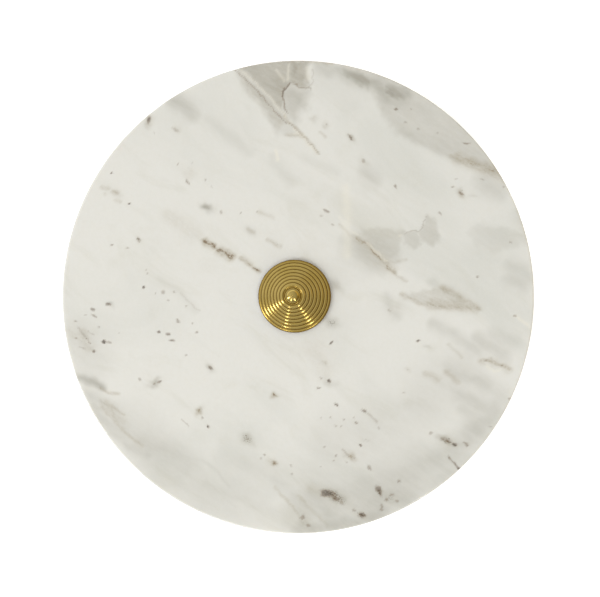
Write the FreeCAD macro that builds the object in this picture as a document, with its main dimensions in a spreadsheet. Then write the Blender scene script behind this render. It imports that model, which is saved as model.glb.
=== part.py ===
import FreeCAD, Part
import math
import os

import Sketcher

# Lazy susan turntable. A round marble plate with a brass knob turns on a ball bearing ring over a smaller
# marble base that stands on four rubber feet.
#
# Frame: millimetres, +Z up. The origin is on the turning axis, in the plane that the feet rest on.
# Bottom to top: feet, base disc, bearing (outer ring on the base, inner ring under the plate), plate, knob.
# Each piece is drawn in a frame of its own, on the turning axis, and its Placement lifts it to its level.

DRIVING = [
    # rubber feet
    ("foot_count", 4),
    ("foot_radius", 10.0),
    ("foot_height", 4.0),
    ("foot_recess", 1.0),
    ("foot_circle", 80.0),
    ("foot_rounding", 1.0),
    # base disc
    ("base_radius", 95.0),
    ("base_thickness", 14.0),
    ("base_bore", 13.0),
    ("access_bore", 6.0),
    ("stone_rounding", 1.2),
    # turned plate
    ("plate_radius", 152.5),
    ("plate_thickness", 15.0),
    ("plate_bore", 5.0),
    ("pocket_radius", 13.0),
    ("pocket_depth", 9.0),
    # bearing
    ("bearing_height", 9.0),
    ("ring_gap", 1.0),
    ("race_circle", 58.5),
    ("race_opening", 1.8),
    ("race_play", 0.05),
    ("ball_radius", 2.5),
    ("ball_count", 40),
    ("outer_ring_radius", 78.0),
    ("inner_ring_bore", 38.0),
    ("ring_chamfer", 0.8),
    ("cage_wall", 1.1),
    ("cage_height", 6.6),
    ("cage_play", 0.15),
    # screws, inserts and rivets
    ("fastener_count", 4),
    ("outer_screw_circle", 69.0),
    ("inner_screw_circle", 48.0),
    ("screw_radius", 2.5),
    ("screw_clearance", 0.25),
    ("screw_length", 16.0),
    ("screw_head_radius", 4.6),
    ("screw_head_rim", 0.25),
    ("screw_sink", 0.1),
    ("screw_chamfer", 0.5),
    ("hex_socket_radius", 1.73),
    ("hex_socket_depth", 1.4),
    ("insert_radius", 4.0),
    ("insert_length", 9.0),
    ("insert_hole_depth", 10.0),
    ("insert_waist", 0.5),
    ("rivet_radius", 1.5),
    ("rivet_head_radius", 2.6),
    # stud that joins knob and plate, with its bush, washers and nut
    ("stud_radius", 3.0),
    ("stud_play", 0.05),
    ("stud_grip", 12.0),
    ("stud_recess", 0.5),
    ("washer_radius", 12.0),
    ("washer_bore", 3.2),
    ("washer_thickness", 1.5),
    ("lock_washer_radius", 6.0),
    ("lock_washer_slit", 1.0),
    ("nut_corner_radius", 5.77),
    ("nut_face_radius", 4.9),
    ("nut_chamfer", 0.5),
    ("nut_height", 5.0),
    # knob: beads of one size stacked on a cone, with a dome and a small tip in the middle
    ("bead_count", 8),
    ("bead_radius", 1.45),
    ("bead_circle", 22.0),
    ("bead_lift", 1.7),
    ("bead_step_in", 2.17),
    ("bead_step_up", 2.0),
    ("cone_cover", 0.45),
    ("dome_radius", 5.5),
    ("dome_height", 3.2),
    ("dome_lift", 0.6),
    ("tip_radius", 0.7),
    ("tip_height", 0.5),
    ("gasket_radius", 19.0),
    ("gasket_bore", 4.0),
    ("gasket_thickness", 0.8),
    ("knob_hole_depth", 12.5),
]

UP = FreeCAD.Vector(0, 0, 1)
ACROSS = FreeCAD.Vector(1, 0, 0)
ALONG_Y = FreeCAD.Vector(0, 1, 0)
OVERCUT = 1.0  # how far a cutting tool runs past the wall that it cuts
FOOT_AZIMUTH = 45  # degrees from +X to the first foot
RIVET_AZIMUTH = 45  # the rivets sit midway between the screws of their ring
SLIT_SLANT = 25  # degrees that the lock washer's slit leans

doc = FreeCAD.newDocument("LazySusan")
sheet = doc.addObject("Spreadsheet::Sheet", "Dims")
sub_parts = []


# ---------------------------------------------------------------- sizes


class Size:
    """A length, kept both as a number and as the sheet expression that gives it."""

    def __init__(self, value, text):
        self.value = value
        self.text = text

    def __add__(self, other):
        other = as_size(other)
        return Size(self.value + other.value, f"({self.text} + {other.text})")

    def __sub__(self, other):
        other = as_size(other)
        return Size(self.value - other.value, f"({self.text} - {other.text})")

    def __mul__(self, other):
        other = as_size(other)
        return Size(self.value * other.value, f"({self.text} * {other.text})")

    def __truediv__(self, other):
        other = as_size(other)
        return Size(self.value / other.value, f"({self.text} / {other.text})")


def as_size(value):
    return value if isinstance(value, Size) else Size(float(value), str(value))


def root(size):
    return Size(math.sqrt(size.value), f"sqrt({size.text})")


def cap_radius(half_width, height):
    """The radius of the arc that rises by height over half_width, ending level on the axis."""
    return (half_width * half_width + height * height) / (height * 2)


def dim(alias):
    return Size(float(sheet.get(alias)), f"Dims.{alias}")


def fill_sheet():
    for row, (alias, value) in enumerate(DRIVING, start=1):
        sheet.set(f"A{row}", alias)
        sheet.set(f"B{row}", str(value))
        sheet.setAlias(f"B{row}", alias)
    doc.recompute()


def bind(target, **sizes):
    """Binds properties to the sheet. Names use __ for the dots of a path, as in Placement__Base__z."""
    for name, size in sizes.items():
        target.setExpression(name.replace("__", "."), as_size(size).text)


# ---------------------------------------------------------------- bodies and sketches


def new_body(label, level, upside_down=False):
    """An empty body, standing on its own XY plane at this level, or hanging from it."""
    body = doc.addObject("PartDesign::Body", label)
    body.Label = label
    body.AllowCompound = True
    if upside_down:
        body.Placement = FreeCAD.Placement(FreeCAD.Vector(), FreeCAD.Rotation(ACROSS, 180))
    bind(body, Placement__Base__z=level)
    sub_parts.append(body)
    return body


def origin_feature(body, role):
    return next(feature for feature in body.Origin.OriginFeatures if feature.Role == role)


def upright_sketch(body, name, azimuth):
    """A sketch on the upright plane at this azimuth, x outwards from the turning axis and y up."""
    sketch = body.newObject("Sketcher::SketchObject", name)
    sketch.AttachmentSupport = [(origin_feature(body, "XZ_Plane"), "")]
    sketch.MapMode = "FlatFace"
    sketch.AttachmentOffset = FreeCAD.Placement(FreeCAD.Vector(), FreeCAD.Rotation(ALONG_Y, azimuth))
    return sketch


def constrain(sketch, kind, *where, size):
    made = sketch.addConstraint(Sketcher.Constraint(kind, *where, size.value))
    sketch.setExpression(f"Constraints[{made}]", size.text)


def pin(sketch, edge, point, x, y):
    """Ties a point of an edge to the sketch's origin: by a size each way or, at zero, by an axis."""
    for kind, size, axis in (("DistanceX", x, -2), ("DistanceY", y, -1)):
        if size.value == 0:
            sketch.addConstraint(Sketcher.Constraint("PointOnObject", edge, point, axis))
        else:
            constrain(sketch, kind, -1, 1, edge, point, size=size)


def outward_arc(start, end, radius):
    """The minor arc from start to end that bulges to the right, so outwards on an anticlockwise outline."""
    chord = end - start
    left = FreeCAD.Vector(-chord.y, chord.x, 0).normalize()
    centre = (start + end) * 0.5 + left * math.sqrt(radius**2 - (chord.Length / 2) ** 2)
    first, last = (math.atan2(p.y - centre.y, p.x - centre.x) for p in (start, end))
    if last < first:
        last += 2 * math.pi
    return Part.ArcOfCircle(Part.Circle(centre, UP, radius), first, last)


def outline(body, name, corners, azimuth=0):
    """A closed outline, its corners listed anticlockwise as (x, y).

    A corner of (x, y, radius) starts an arc of that radius in place of a straight edge.
    """
    sketch = upright_sketch(body, name, azimuth)
    corners = [[as_size(value) for value in corner] for corner in corners]
    points = [FreeCAD.Vector(corner[0].value, corner[1].value, 0) for corner in corners]
    ends = points[1:] + points[:1]
    for corner, start, end in zip(corners, points, ends):
        if len(corner) == 3:
            edge = sketch.addGeometry(outward_arc(start, end, corner[2].value))
            constrain(sketch, "Radius", edge, size=corner[2])
        else:
            edge = sketch.addGeometry(Part.LineSegment(start, end))
    for edge, corner in enumerate(corners):
        following = (edge + 1) % len(corners)
        sketch.addConstraint(Sketcher.Constraint("Coincident", edge, 2, following, 1))
        pin(sketch, edge, 1, corner[0], corner[1])
    return sketch


def circles(body, name, centres, radius):
    """Full circles of one radius, at centres given as (x, y)."""
    sketch = upright_sketch(body, name, 0)
    for x, y in centres:
        middle = FreeCAD.Vector(x.value, as_size(y).value, 0)
        edge = sketch.addGeometry(Part.Circle(middle, UP, radius.value))
        constrain(sketch, "Radius", edge, size=radius)
        pin(sketch, edge, 3, x, as_size(y))
    return sketch


# ---------------------------------------------------------------- features


def check_cut(body, name, volume_before):
    doc.recompute()
    if not body.Shape.Volume < volume_before:
        raise RuntimeError(f"{name} removes nothing")


def turn(body, sketch, axis="V_Axis"):
    """Adds the sketch turned once round an axis: the turning axis, or an edge of the sketch."""
    feature = body.newObject("PartDesign::Revolution", f"{sketch.Name}_turned")
    feature.Profile = sketch
    feature.ReferenceAxis = (sketch, [axis])
    feature.Angle = 360
    doc.recompute()
    return feature


def turn_away(body, sketch, axis="V_Axis"):
    """Cuts away the sketch turned once round an axis."""
    before = body.Shape.Volume
    feature = body.newObject("PartDesign::Groove", f"{sketch.Name}_cut")
    feature.Profile = sketch
    feature.ReferenceAxis = (sketch, [axis])
    feature.Angle = 360
    check_cut(body, feature.Name, before)
    return feature


def primitive(body, kind, name, rotation=None, position=None, **sizes):
    """A PartDesign primitive, such as AdditiveSphere, with its sizes and position bound to the sheet."""
    before = body.Shape.Volume if kind.startswith("Subtractive") else None
    feature = body.newObject(f"PartDesign::{kind}", name)
    if rotation:
        feature.Placement = FreeCAD.Placement(FreeCAD.Vector(), rotation)
    bind(feature, **sizes)
    for letter, size in (position or {}).items():
        bind(feature, **{f"Placement__Base__{letter}": size})
    if before is None:
        doc.recompute()
    else:
        check_cut(body, name, before)
    return feature


def hexagon(body, kind, name, corner_radius, height, **position):
    feature = primitive(body, kind, name, position=position, Circumradius=corner_radius, Height=height)
    feature.Polygon = 6
    doc.recompute()
    return feature


def repeat_round(body, features, count):
    """Repeats features round the turning axis."""
    pattern = body.newObject("PartDesign::PolarPattern", f"{features[0].Name}_round")
    pattern.Originals = features
    pattern.Axis = (origin_feature(body, "Z_Axis"), [""])
    pattern.Angle = 360
    bind(pattern, Occurrences=count)
    body.Tip = pattern
    doc.recompute()


def repeated_hole(body, name, corners, count, azimuth=0):
    """Round holes about upright axes. The outline's last edge lies on the first hole's axis."""
    sketch = outline(body, name, corners, azimuth)
    hole = turn_away(body, sketch, axis=f"Edge{len(corners)}")
    repeat_round(body, [hole], count)


def tube_section(inner, outer, height):
    return [(inner, 0), (outer, 0), (outer, height), (inner, height)]


# ---------------------------------------------------------------- pieces


def stone_section(inner_corners, radius, thickness):
    """Half of a disc's section with eased outer edges, closed by the corners of its middle."""
    ease = dim("stone_rounding")
    lower = [(radius - ease, 0, ease), (radius, ease)]
    upper = [(radius, thickness - ease, ease), (radius - ease, thickness)]
    return lower + upper + inner_corners


def insert_hole(circle, from_top=None):
    """A drilled hole for an insert, open at the bottom, or at the top of a disc of this thickness."""
    outside = circle + dim("insert_radius")
    depth = dim("insert_hole_depth")
    if from_top is None:
        return [(circle, 0), (outside, 0), (outside, depth), (circle, depth)]
    floor = from_top - depth
    return [(circle, floor), (outside, floor), (outside, from_top), (circle, from_top)]


def make_base_disc(level):
    body = new_body("base_disc", level)
    bore, thickness = dim("base_bore"), dim("base_thickness")
    section = stone_section([(bore, thickness), (bore, 0)], dim("base_radius"), thickness)
    turn(body, outline(body, "base_section", section))
    circle, recess = dim("foot_circle"), dim("foot_recess")
    outside = circle + dim("foot_radius")
    foot_seat = [(circle, 0), (outside, 0), (outside, recess), (circle, recess)]
    repeated_hole(body, "foot_seat", foot_seat, dim("foot_count"), FOOT_AZIMUTH)
    hole = insert_hole(dim("outer_screw_circle"), from_top=thickness)
    repeated_hole(body, "base_insert_hole", hole, dim("fastener_count"))
    # One through hole, under the circle of the inner ring's screws, lets a driver reach each in turn.
    primitive(
        body,
        "SubtractiveCylinder",
        "access_hole",
        position={"x": dim("inner_screw_circle")},
        Radius=dim("access_bore"),
        Height=thickness,
    )


def make_foot(number, azimuth):
    body = new_body(f"rubber_foot_{number}", 0)
    bind(body, Placement__Base__x=Size(0, f"Dims.foot_circle * cos({azimuth} deg)"))
    bind(body, Placement__Base__y=Size(0, f"Dims.foot_circle * sin({azimuth} deg)"))
    radius, height, ease = dim("foot_radius"), dim("foot_height"), dim("foot_rounding")
    section = [(0, 0), (radius - ease, 0, ease), (radius, ease), (radius, height), (0, height)]
    turn(body, outline(body, f"foot_section_{number}", section))


def make_outer_ring(level):
    body = new_body("outer_ring", level)
    inner = dim("race_circle") + dim("race_opening") / 2
    outer, chamfer = dim("outer_ring_radius"), dim("ring_chamfer")
    height = dim("bearing_height") - dim("ring_gap")
    section = [
        (inner, 0),
        (outer - chamfer, 0),
        (outer, chamfer),
        (outer, height - chamfer),
        (outer - chamfer, height),
        (inner, height),
    ]
    turn(body, outline(body, "outer_ring_section", section))
    race = circles(
        body,
        "outer_race",
        [(dim("race_circle"), dim("bearing_height") / 2)],
        dim("ball_radius") + dim("race_play"),
    )
    turn_away(body, race)
    circle = dim("outer_screw_circle")
    shank = circle + dim("screw_radius") + dim("screw_clearance")
    face = circle + countersink_radius()
    hole = [(circle, 0), (shank, 0), (shank, height - (face - shank)), (face, height), (circle, height)]
    repeated_hole(body, "outer_screw_hole", hole, dim("fastener_count"))


def countersink_radius():
    """A head that sits screw_sink under the face needs a cone this wide at the face."""
    return dim("screw_head_radius") + dim("screw_head_rim") + dim("screw_sink")


def make_inner_ring_lower(level):
    body = new_body("inner_ring_lower", level)
    bore, chamfer = dim("inner_ring_bore"), dim("ring_chamfer")
    outer = dim("race_circle") - dim("race_opening") / 2
    height = dim("bearing_height") / 2 - dim("ring_gap")
    section = [(bore + chamfer, 0), (outer, 0), (outer, height), (bore, height), (bore, chamfer)]
    turn(body, outline(body, "lower_section", section))
    radius = dim("ball_radius") + dim("race_play")
    turn_away(body, circles(body, "lower_race", [(dim("race_circle"), height)], radius))
    circle = dim("inner_screw_circle")
    shank = circle + dim("screw_radius") + dim("screw_clearance")
    face = circle + countersink_radius()
    hole = [(circle, 0), (face, 0), (shank, face - shank), (shank, height), (circle, height)]
    repeated_hole(body, "lower_screw_hole", hole, dim("fastener_count"))
    rivet, head = circle + dim("rivet_radius"), circle + dim("rivet_head_radius")
    hole = [(circle, 0), (head, 0), (rivet, head - rivet), (rivet, height), (circle, height)]
    repeated_hole(body, "lower_rivet_hole", hole, dim("fastener_count"), RIVET_AZIMUTH)


def make_inner_ring_upper(level):
    body = new_body("inner_ring_upper", level)
    bore = dim("inner_ring_bore")
    outer = dim("race_circle") - dim("race_opening") / 2
    height = dim("bearing_height") / 2
    turn(body, outline(body, "upper_section", tube_section(bore, outer, height)))
    radius = dim("ball_radius") + dim("race_play")
    turn_away(body, circles(body, "upper_race", [(dim("race_circle"), 0)], radius))
    circle = dim("inner_screw_circle")
    shank = circle + dim("screw_radius") + dim("screw_clearance")
    hole = [(circle, 0), (shank, 0), (shank, height), (circle, height)]
    repeated_hole(body, "upper_screw_hole", hole, dim("fastener_count"))
    rivet, head = circle + dim("rivet_radius"), circle + dim("rivet_head_radius")
    hole = [(circle, 0), (rivet, 0), (rivet, height - (head - rivet)), (head, height), (circle, height)]
    repeated_hole(body, "upper_rivet_hole", hole, dim("fastener_count"), RIVET_AZIMUTH)


def make_rivets(level):
    body = new_body("ring_rivets", level)
    circle = dim("inner_screw_circle")
    shank, head = circle + dim("rivet_radius"), circle + dim("rivet_head_radius")
    height = dim("bearing_height") - dim("ring_gap")
    section = [
        (circle, 0),
        (head, 0),
        (shank, head - shank),
        (shank, height - (head - shank)),
        (head, height),
        (circle, height),
    ]
    sketch = outline(body, "rivet_section", section, RIVET_AZIMUTH)
    rivet = turn(body, sketch, axis=f"Edge{len(section)}")
    repeat_round(body, [rivet], dim("fastener_count"))


def make_cage(level):
    body = new_body("ball_cage", level)
    half_wall = dim("cage_wall") / 2
    inner, outer = dim("race_circle") - half_wall, dim("race_circle") + half_wall
    half_height = dim("cage_height") / 2
    low = as_size(0) - half_height
    section = [(inner, low), (outer, low), (outer, half_height), (inner, half_height)]
    turn(body, outline(body, "cage_section", section))
    pocket = primitive(
        body,
        "SubtractiveCylinder",
        "ball_pocket",
        rotation=FreeCAD.Rotation(ALONG_Y, 90),
        position={"x": inner - OVERCUT},
        Radius=dim("ball_radius") + dim("cage_play"),
        Height=dim("cage_wall") + 2 * OVERCUT,
    )
    repeat_round(body, [pocket], dim("ball_count"))


def make_balls(level):
    body = new_body("bearing_balls", level)
    ball = primitive(
        body,
        "AdditiveSphere",
        "ball",
        position={"x": dim("race_circle")},
        Radius=dim("ball_radius"),
    )
    repeat_round(body, [ball], dim("ball_count"))


def make_screws(label, level, circle, upside_down=False):
    """Flat-head screws with hex sockets, their heads at the bottom, or at the top when upside down."""
    body = new_body(label, level, upside_down)
    shank, head = circle + dim("screw_radius"), circle + dim("screw_head_radius")
    rim, length, chamfer = dim("screw_head_rim"), dim("screw_length"), dim("screw_chamfer")
    section = [
        (circle, 0),
        (head, 0),
        (head, rim),
        (shank, rim + head - shank),
        (shank, length - chamfer),
        (shank - chamfer, length),
        (circle, length),
    ]
    screw = turn(body, outline(body, f"{label}_section", section), axis=f"Edge{len(section)}")
    socket = hexagon(
        body,
        "SubtractivePrism",
        f"{label}_socket",
        dim("hex_socket_radius"),
        dim("hex_socket_depth"),
        x=circle,
    )
    repeat_round(body, [screw, socket], dim("fastener_count"))


def make_inserts(label, level, circle, upside_down=False):
    """Threaded brass inserts with a waist that the adhesive keys into."""
    body = new_body(label, level, upside_down)
    outside, length = circle + dim("insert_radius"), dim("insert_length")
    waist = outside - dim("insert_waist")
    section = [
        (circle, 0),
        (outside, 0),
        (outside, length / 3),
        (waist, length / 3),
        (waist, length / 2),
        (outside, length / 2),
        (outside, length),
        (circle, length),
    ]
    insert = turn(body, outline(body, f"{label}_section", section), axis=f"Edge{len(section)}")
    bore = primitive(
        body,
        "SubtractiveCylinder",
        f"{label}_bore",
        position={"x": circle},
        Radius=dim("screw_radius"),
        Height=length,
    )
    repeat_round(body, [insert, bore], dim("fastener_count"))


def make_plate(level):
    """The turned plate, with a stepped bore for the knob's stud and blind holes for its inserts."""
    body = new_body("marble_top", level)
    thickness, bore = dim("plate_thickness"), dim("plate_bore")
    pocket, depth = dim("pocket_radius"), dim("pocket_depth")
    middle = [(bore, thickness), (bore, depth), (pocket, depth), (pocket, 0)]
    turn(body, outline(body, "plate_section", stone_section(middle, dim("plate_radius"), thickness)))
    hole = insert_hole(dim("inner_screw_circle"))
    repeated_hole(body, "plate_insert_hole", hole, dim("fastener_count"))


def make_bush(level):
    body = new_body("stud_bush", level)
    height = dim("plate_thickness") - dim("pocket_depth")
    inner = dim("stud_radius") + dim("stud_play")
    turn(body, outline(body, "bush_section", tube_section(inner, dim("plate_bore"), height)))


def make_washer(level):
    body = new_body("stud_washer", level)
    section = tube_section(dim("washer_bore"), dim("washer_radius"), dim("washer_thickness"))
    turn(body, outline(body, "washer_section", section))


def make_lock_washer(level):
    body = new_body("stud_lock_washer", level)
    radius, thickness, slit = dim("lock_washer_radius"), dim("washer_thickness"), dim("lock_washer_slit")
    turn(body, outline(body, "lock_section", tube_section(dim("washer_bore"), radius, thickness)))
    primitive(
        body,
        "SubtractiveBox",
        "lock_slit",
        rotation=FreeCAD.Rotation(ACROSS, SLIT_SLANT),
        position={"z": as_size(0) - OVERCUT},
        Length=radius + OVERCUT,
        Width=slit,
        Height=thickness + 3 * OVERCUT,
    )


def make_nut(level):
    body = new_body("stud_nut", level)
    height, chamfer = dim("nut_height"), dim("nut_chamfer")
    corner, face = dim("nut_corner_radius") + OVERCUT, dim("nut_face_radius")
    hexagon(body, "AdditivePrism", "nut_hexagon", dim("nut_corner_radius"), height)
    primitive(body, "SubtractiveCylinder", "nut_bore", Radius=dim("stud_radius"), Height=height)
    rise = (corner - face) * chamfer / (dim("nut_corner_radius") - face)
    lower = [(face, 0), (corner, 0), (corner, rise)]
    upper = [(face, height), (corner, height - rise), (corner, height)]
    turn_away(body, outline(body, "nut_lower_chamfer", lower))
    turn_away(body, outline(body, "nut_upper_chamfer", upper))


def make_stud(level):
    body = new_body("knob_stud", level)
    radius, chamfer = dim("stud_radius"), dim("screw_chamfer")
    length = dim("plate_thickness") - dim("stud_recess") + dim("stud_grip")
    section = [
        (0, 0),
        (radius - chamfer, 0),
        (radius, chamfer),
        (radius, length - chamfer),
        (radius - chamfer, length),
        (0, length),
    ]
    turn(body, outline(body, "stud_section", section))
    depth = dim("hex_socket_depth")
    hexagon(body, "SubtractivePrism", "stud_socket", dim("hex_socket_radius"), depth)


def make_gasket(level):
    body = new_body("knob_gasket", level)
    section = tube_section(dim("gasket_bore"), dim("gasket_radius"), dim("gasket_thickness"))
    turn(body, outline(body, "gasket_section", section))


def make_knob(level):
    """A cone of stacked beads. The beads' centres climb inwards by equal steps to the dome's foot."""
    body = new_body("knob", level)
    beads = [
        (dim("bead_circle") - dim("bead_step_in") * i, dim("bead_lift") + dim("bead_step_up") * i)
        for i in range(int(dim("bead_count").value))
    ]
    (first_x, first_y), (last_x, last_y) = beads[0], beads[-1]
    cover = dim("cone_cover")
    dome_radius, tip_radius = dim("dome_radius"), dim("tip_radius")
    dome_foot = last_y + dim("dome_lift")
    dome_arc = cap_radius(dome_radius, dim("dome_height"))
    tip_arc = cap_radius(tip_radius, dim("tip_height"))
    dome_centre = dome_foot + dim("dome_height") - dome_arc
    tip_foot = dome_centre + root(dome_arc * dome_arc - tip_radius * tip_radius)
    core = [
        (0, 0),
        (first_x + cover, 0),
        (first_x + cover, first_y),
        (last_x + cover, last_y),
        (dome_radius, dome_foot, dome_arc),
        (tip_radius, tip_foot, tip_arc),
        (0, tip_foot + dim("tip_height")),
    ]
    turn(body, outline(body, "knob_core", core))
    turn(body, circles(body, "knob_beads", beads, dim("bead_radius")))
    seat, depth = dim("gasket_thickness"), dim("knob_hole_depth")
    stud = dim("stud_radius")
    underside = [(0, 0), (dim("gasket_radius"), 0), (dim("gasket_radius"), seat), (stud, seat)]
    underside += [(stud, depth), (0, depth)]
    turn_away(body, outline(body, "knob_underside", underside))


# ---------------------------------------------------------------- assembly


def build_turntable():
    base_bottom = dim("foot_height") - dim("foot_recess")
    base_top = base_bottom + dim("base_thickness")
    race = base_top + dim("bearing_height") / 2
    plate_bottom = base_top + dim("bearing_height")
    pocket_roof = plate_bottom + dim("pocket_depth")
    plate_top = plate_bottom + dim("plate_thickness")
    outer_ring_top = plate_bottom - dim("ring_gap")
    inner_ring_bottom = base_top + dim("ring_gap")
    washer_bottom = pocket_roof - dim("washer_thickness")
    lock_washer_bottom = washer_bottom - dim("washer_thickness")

    for i in range(int(dim("foot_count").value)):
        make_foot(i + 1, FOOT_AZIMUTH + i * 360 / dim("foot_count").value)
    make_base_disc(base_bottom)
    make_inserts("base_inserts", base_top, dim("outer_screw_circle"), upside_down=True)
    make_outer_ring(base_top)
    screw_level = outer_ring_top - dim("screw_sink")
    make_screws("base_screws", screw_level, dim("outer_screw_circle"), upside_down=True)

    make_balls(race)
    make_cage(race)

    make_inner_ring_lower(inner_ring_bottom)
    make_inner_ring_upper(race)
    make_rivets(inner_ring_bottom)
    make_screws("top_screws", inner_ring_bottom + dim("screw_sink"), dim("inner_screw_circle"))
    make_plate(plate_bottom)
    make_inserts("top_inserts", plate_bottom, dim("inner_screw_circle"))
    make_bush(pocket_roof)
    make_washer(washer_bottom)
    make_lock_washer(lock_washer_bottom)
    make_nut(lock_washer_bottom - dim("nut_height"))
    make_stud(plate_bottom + dim("stud_recess"))
    make_gasket(plate_top)
    make_knob(plate_top)


def check_document():
    for item in doc.Objects:
        if "Invalid" in item.State or "Error" in item.State:
            raise RuntimeError(f"{item.Name} is {item.State}")
        if item.TypeId == "Sketcher::SketchObject" and not item.FullyConstrained:
            raise RuntimeError(f"{item.Name} isn't fully constrained")
    for body in sub_parts:
        if body.Shape.isNull() or not body.Shape.isValid():
            raise RuntimeError(f"{body.Label} has no valid shape")


def write_parts():
    os.makedirs("parts", exist_ok=True)
    for body in sub_parts:
        body.Shape.exportStep(f"parts/{body.Label}.step")
        box = body.Shape.BoundBox
        solids = len(body.Shape.Solids)
        print(f"{body.Label:18} {solids:3} solids  z {box.ZMin:7.3f} to {box.ZMax:7.3f}")


fill_sheet()
build_turntable()
doc.recompute()
check_document()
write_parts()
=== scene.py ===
"""Lazy susan turntable: a round marble plate with a beaded brass knob, turning on a ball bearing ring over a
smaller marble base with rubber feet. Lengths are millimetres until a mesh is made. They are metres in the
materials and in the last section, which makes the floor, the lights and the camera."""

import math

import bmesh
import bpy
import numpy as np
from mathutils import Matrix, Vector, geometry


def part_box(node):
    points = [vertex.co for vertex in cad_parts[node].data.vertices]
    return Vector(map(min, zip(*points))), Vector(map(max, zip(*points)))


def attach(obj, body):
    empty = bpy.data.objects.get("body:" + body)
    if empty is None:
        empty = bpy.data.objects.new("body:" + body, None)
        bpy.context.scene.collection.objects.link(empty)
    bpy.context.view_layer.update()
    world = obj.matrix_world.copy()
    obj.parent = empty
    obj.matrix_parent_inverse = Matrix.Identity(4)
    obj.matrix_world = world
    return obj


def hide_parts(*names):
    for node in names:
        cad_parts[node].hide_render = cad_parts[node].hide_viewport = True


MM = 0.001

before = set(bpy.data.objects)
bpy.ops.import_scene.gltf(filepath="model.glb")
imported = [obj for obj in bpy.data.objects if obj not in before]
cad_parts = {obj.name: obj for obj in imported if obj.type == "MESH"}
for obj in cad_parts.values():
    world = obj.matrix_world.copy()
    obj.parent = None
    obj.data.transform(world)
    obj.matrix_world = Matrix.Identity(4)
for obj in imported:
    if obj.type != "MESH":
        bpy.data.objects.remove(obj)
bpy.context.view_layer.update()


# ---- sizes read from the frame


def span(node, axis):
    """(lowest, highest) of a CAD node along an axis, in millimetres."""
    low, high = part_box(node)
    return low[axis] / MM, high[axis] / MM


# the two discs' round sizes are the CAD's own: the frame's meshes end a few micrometres inside them
PLATE_RADIUS = 152.5
PLATE_BOTTOM, PLATE_TOP = span("marble_top", 2)
BASE_RADIUS = 95.0
BASE_BOTTOM, BASE_TOP = span("base_disc", 2)
KNOB_BOTTOM = span("knob", 2)[0]
EDGE_ROUNDING = 1.2


# ---- meshes


def arc(centre, radius, start, end, steps):
    """Points of a round stretch of a profile, angles in degrees from the radius towards +Z."""
    turns = [math.radians(start + (end - start) * i / steps) for i in range(steps + 1)]
    return [(centre[0] + radius * math.cos(t), centre[1] + radius * math.sin(t)) for t in turns]


def circle(radius, count, centre=(0.0, 0.0), start=0.0):
    """Evenly spaced points on a circle, the first at an angle in degrees."""
    turns = [math.radians(start) + 2 * math.pi * i / count for i in range(count)]
    return [(centre[0] + radius * math.cos(t), centre[1] + radius * math.sin(t)) for t in turns]


SHARP_ANGLE = 30  # degrees between two faces, past which the edge between them stays sharp
MERGE_DISTANCE = 1e-6  # points of a flat face that are nearer than this become one
HOLE_SHARE = 0.999  # a triangle whose middle is nearer than this share of a hole's radius lies in the hole


class Build:
    """Collects rings, strips and flat faces of one closed mesh, in millimetres."""

    def __init__(self):
        self.points = []
        self.faces = []

    def add(self, points):
        first = len(self.points)
        self.points.extend(tuple(p) for p in points)
        return list(range(first, len(self.points)))

    def ring(self, radius, height, count, centre=(0.0, 0.0), start=0.0):
        return self.add([(x, y, height) for x, y in circle(radius, count, centre, start)])

    def strip(self, ring_a, ring_b):
        count = len(ring_a)
        for i in range(count):
            j = (i + 1) % count
            self.faces.append((ring_a[i], ring_a[j], ring_b[j], ring_b[i]))

    def cap(self, ring):
        self.faces.append(tuple(ring))

    def fan(self, ring, pole):
        count = len(ring)
        for i in range(count):
            self.faces.append((ring[i], ring[(i + 1) % count], pole))

    def flat(self, outer, holes):
        """A flat face between an outer ring and its holes, each given as (ring, centre, radius)."""
        ring, _, outer_radius = outer
        loops = [ring] + [hole[0] for hole in holes]
        order = [v for loop in loops for v in loop]
        edges, first = [], 0
        for loop in loops:
            size = len(loop)
            edges += [(first + i, first + (i + 1) % size) for i in range(size)]
            first += size
        places = [Vector(self.points[v][:2]) for v in order]
        found = geometry.delaunay_2d_cdt(places, edges, [], 0, MERGE_DISTANCE)
        if len(found[0]) != len(places):
            raise ValueError("the flat face's rings touch each other")
        back = [source[0] for source in found[3]]
        for triangle in found[2]:
            middle = sum((found[0][v] for v in triangle), Vector((0, 0))) / 3
            if middle.length > outer_radius:
                continue
            if any((middle - Vector(centre)).length < radius * HOLE_SHARE for _, centre, radius in holes):
                continue
            self.faces.append(tuple(order[back[v]] for v in triangle))

    def mesh(self, name):
        mesh = bpy.data.meshes.new(name)
        mesh.from_pydata([(x * MM, y * MM, z * MM) for x, y, z in self.points], [], self.faces)
        work = bmesh.new()
        work.from_mesh(mesh)
        bmesh.ops.recalc_face_normals(work, faces=work.faces)
        work.to_mesh(mesh)
        work.free()
        mesh.polygons.foreach_set("use_smooth", [True] * len(mesh.polygons))
        mesh.set_sharp_from_angle(angle=math.radians(SHARP_ANGLE))
        mesh.validate()
        return mesh


def add_object(name, data):
    thing = bpy.data.objects.new(name, data)
    bpy.context.scene.collection.objects.link(thing)
    return thing


def place(mesh, body, material, slot, *nodes):
    """Puts a mesh into the scene as a piece that rides on a body and stands in for CAD nodes."""
    piece = add_object(mesh.name, mesh)
    mesh.materials.append(material)
    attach(piece, body)
    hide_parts(*nodes)


def lathe(name, profile, count):
    """Turns a profile of (radius, height) points. A radius of 0 is a pole."""
    build = Build()
    rings = []
    for radius, height in profile:
        if radius <= 0:
            rings.append(build.add([(0, 0, height)]))
        else:
            rings.append(build.ring(radius, height, count))
    for low, high in zip(rings, rings[1:]):
        if len(low) == 1:
            build.fan(high, low[0])
        elif len(high) == 1:
            build.fan(low, high[0])
        else:
            build.strip(low, high)
    return build.mesh(name)


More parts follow.
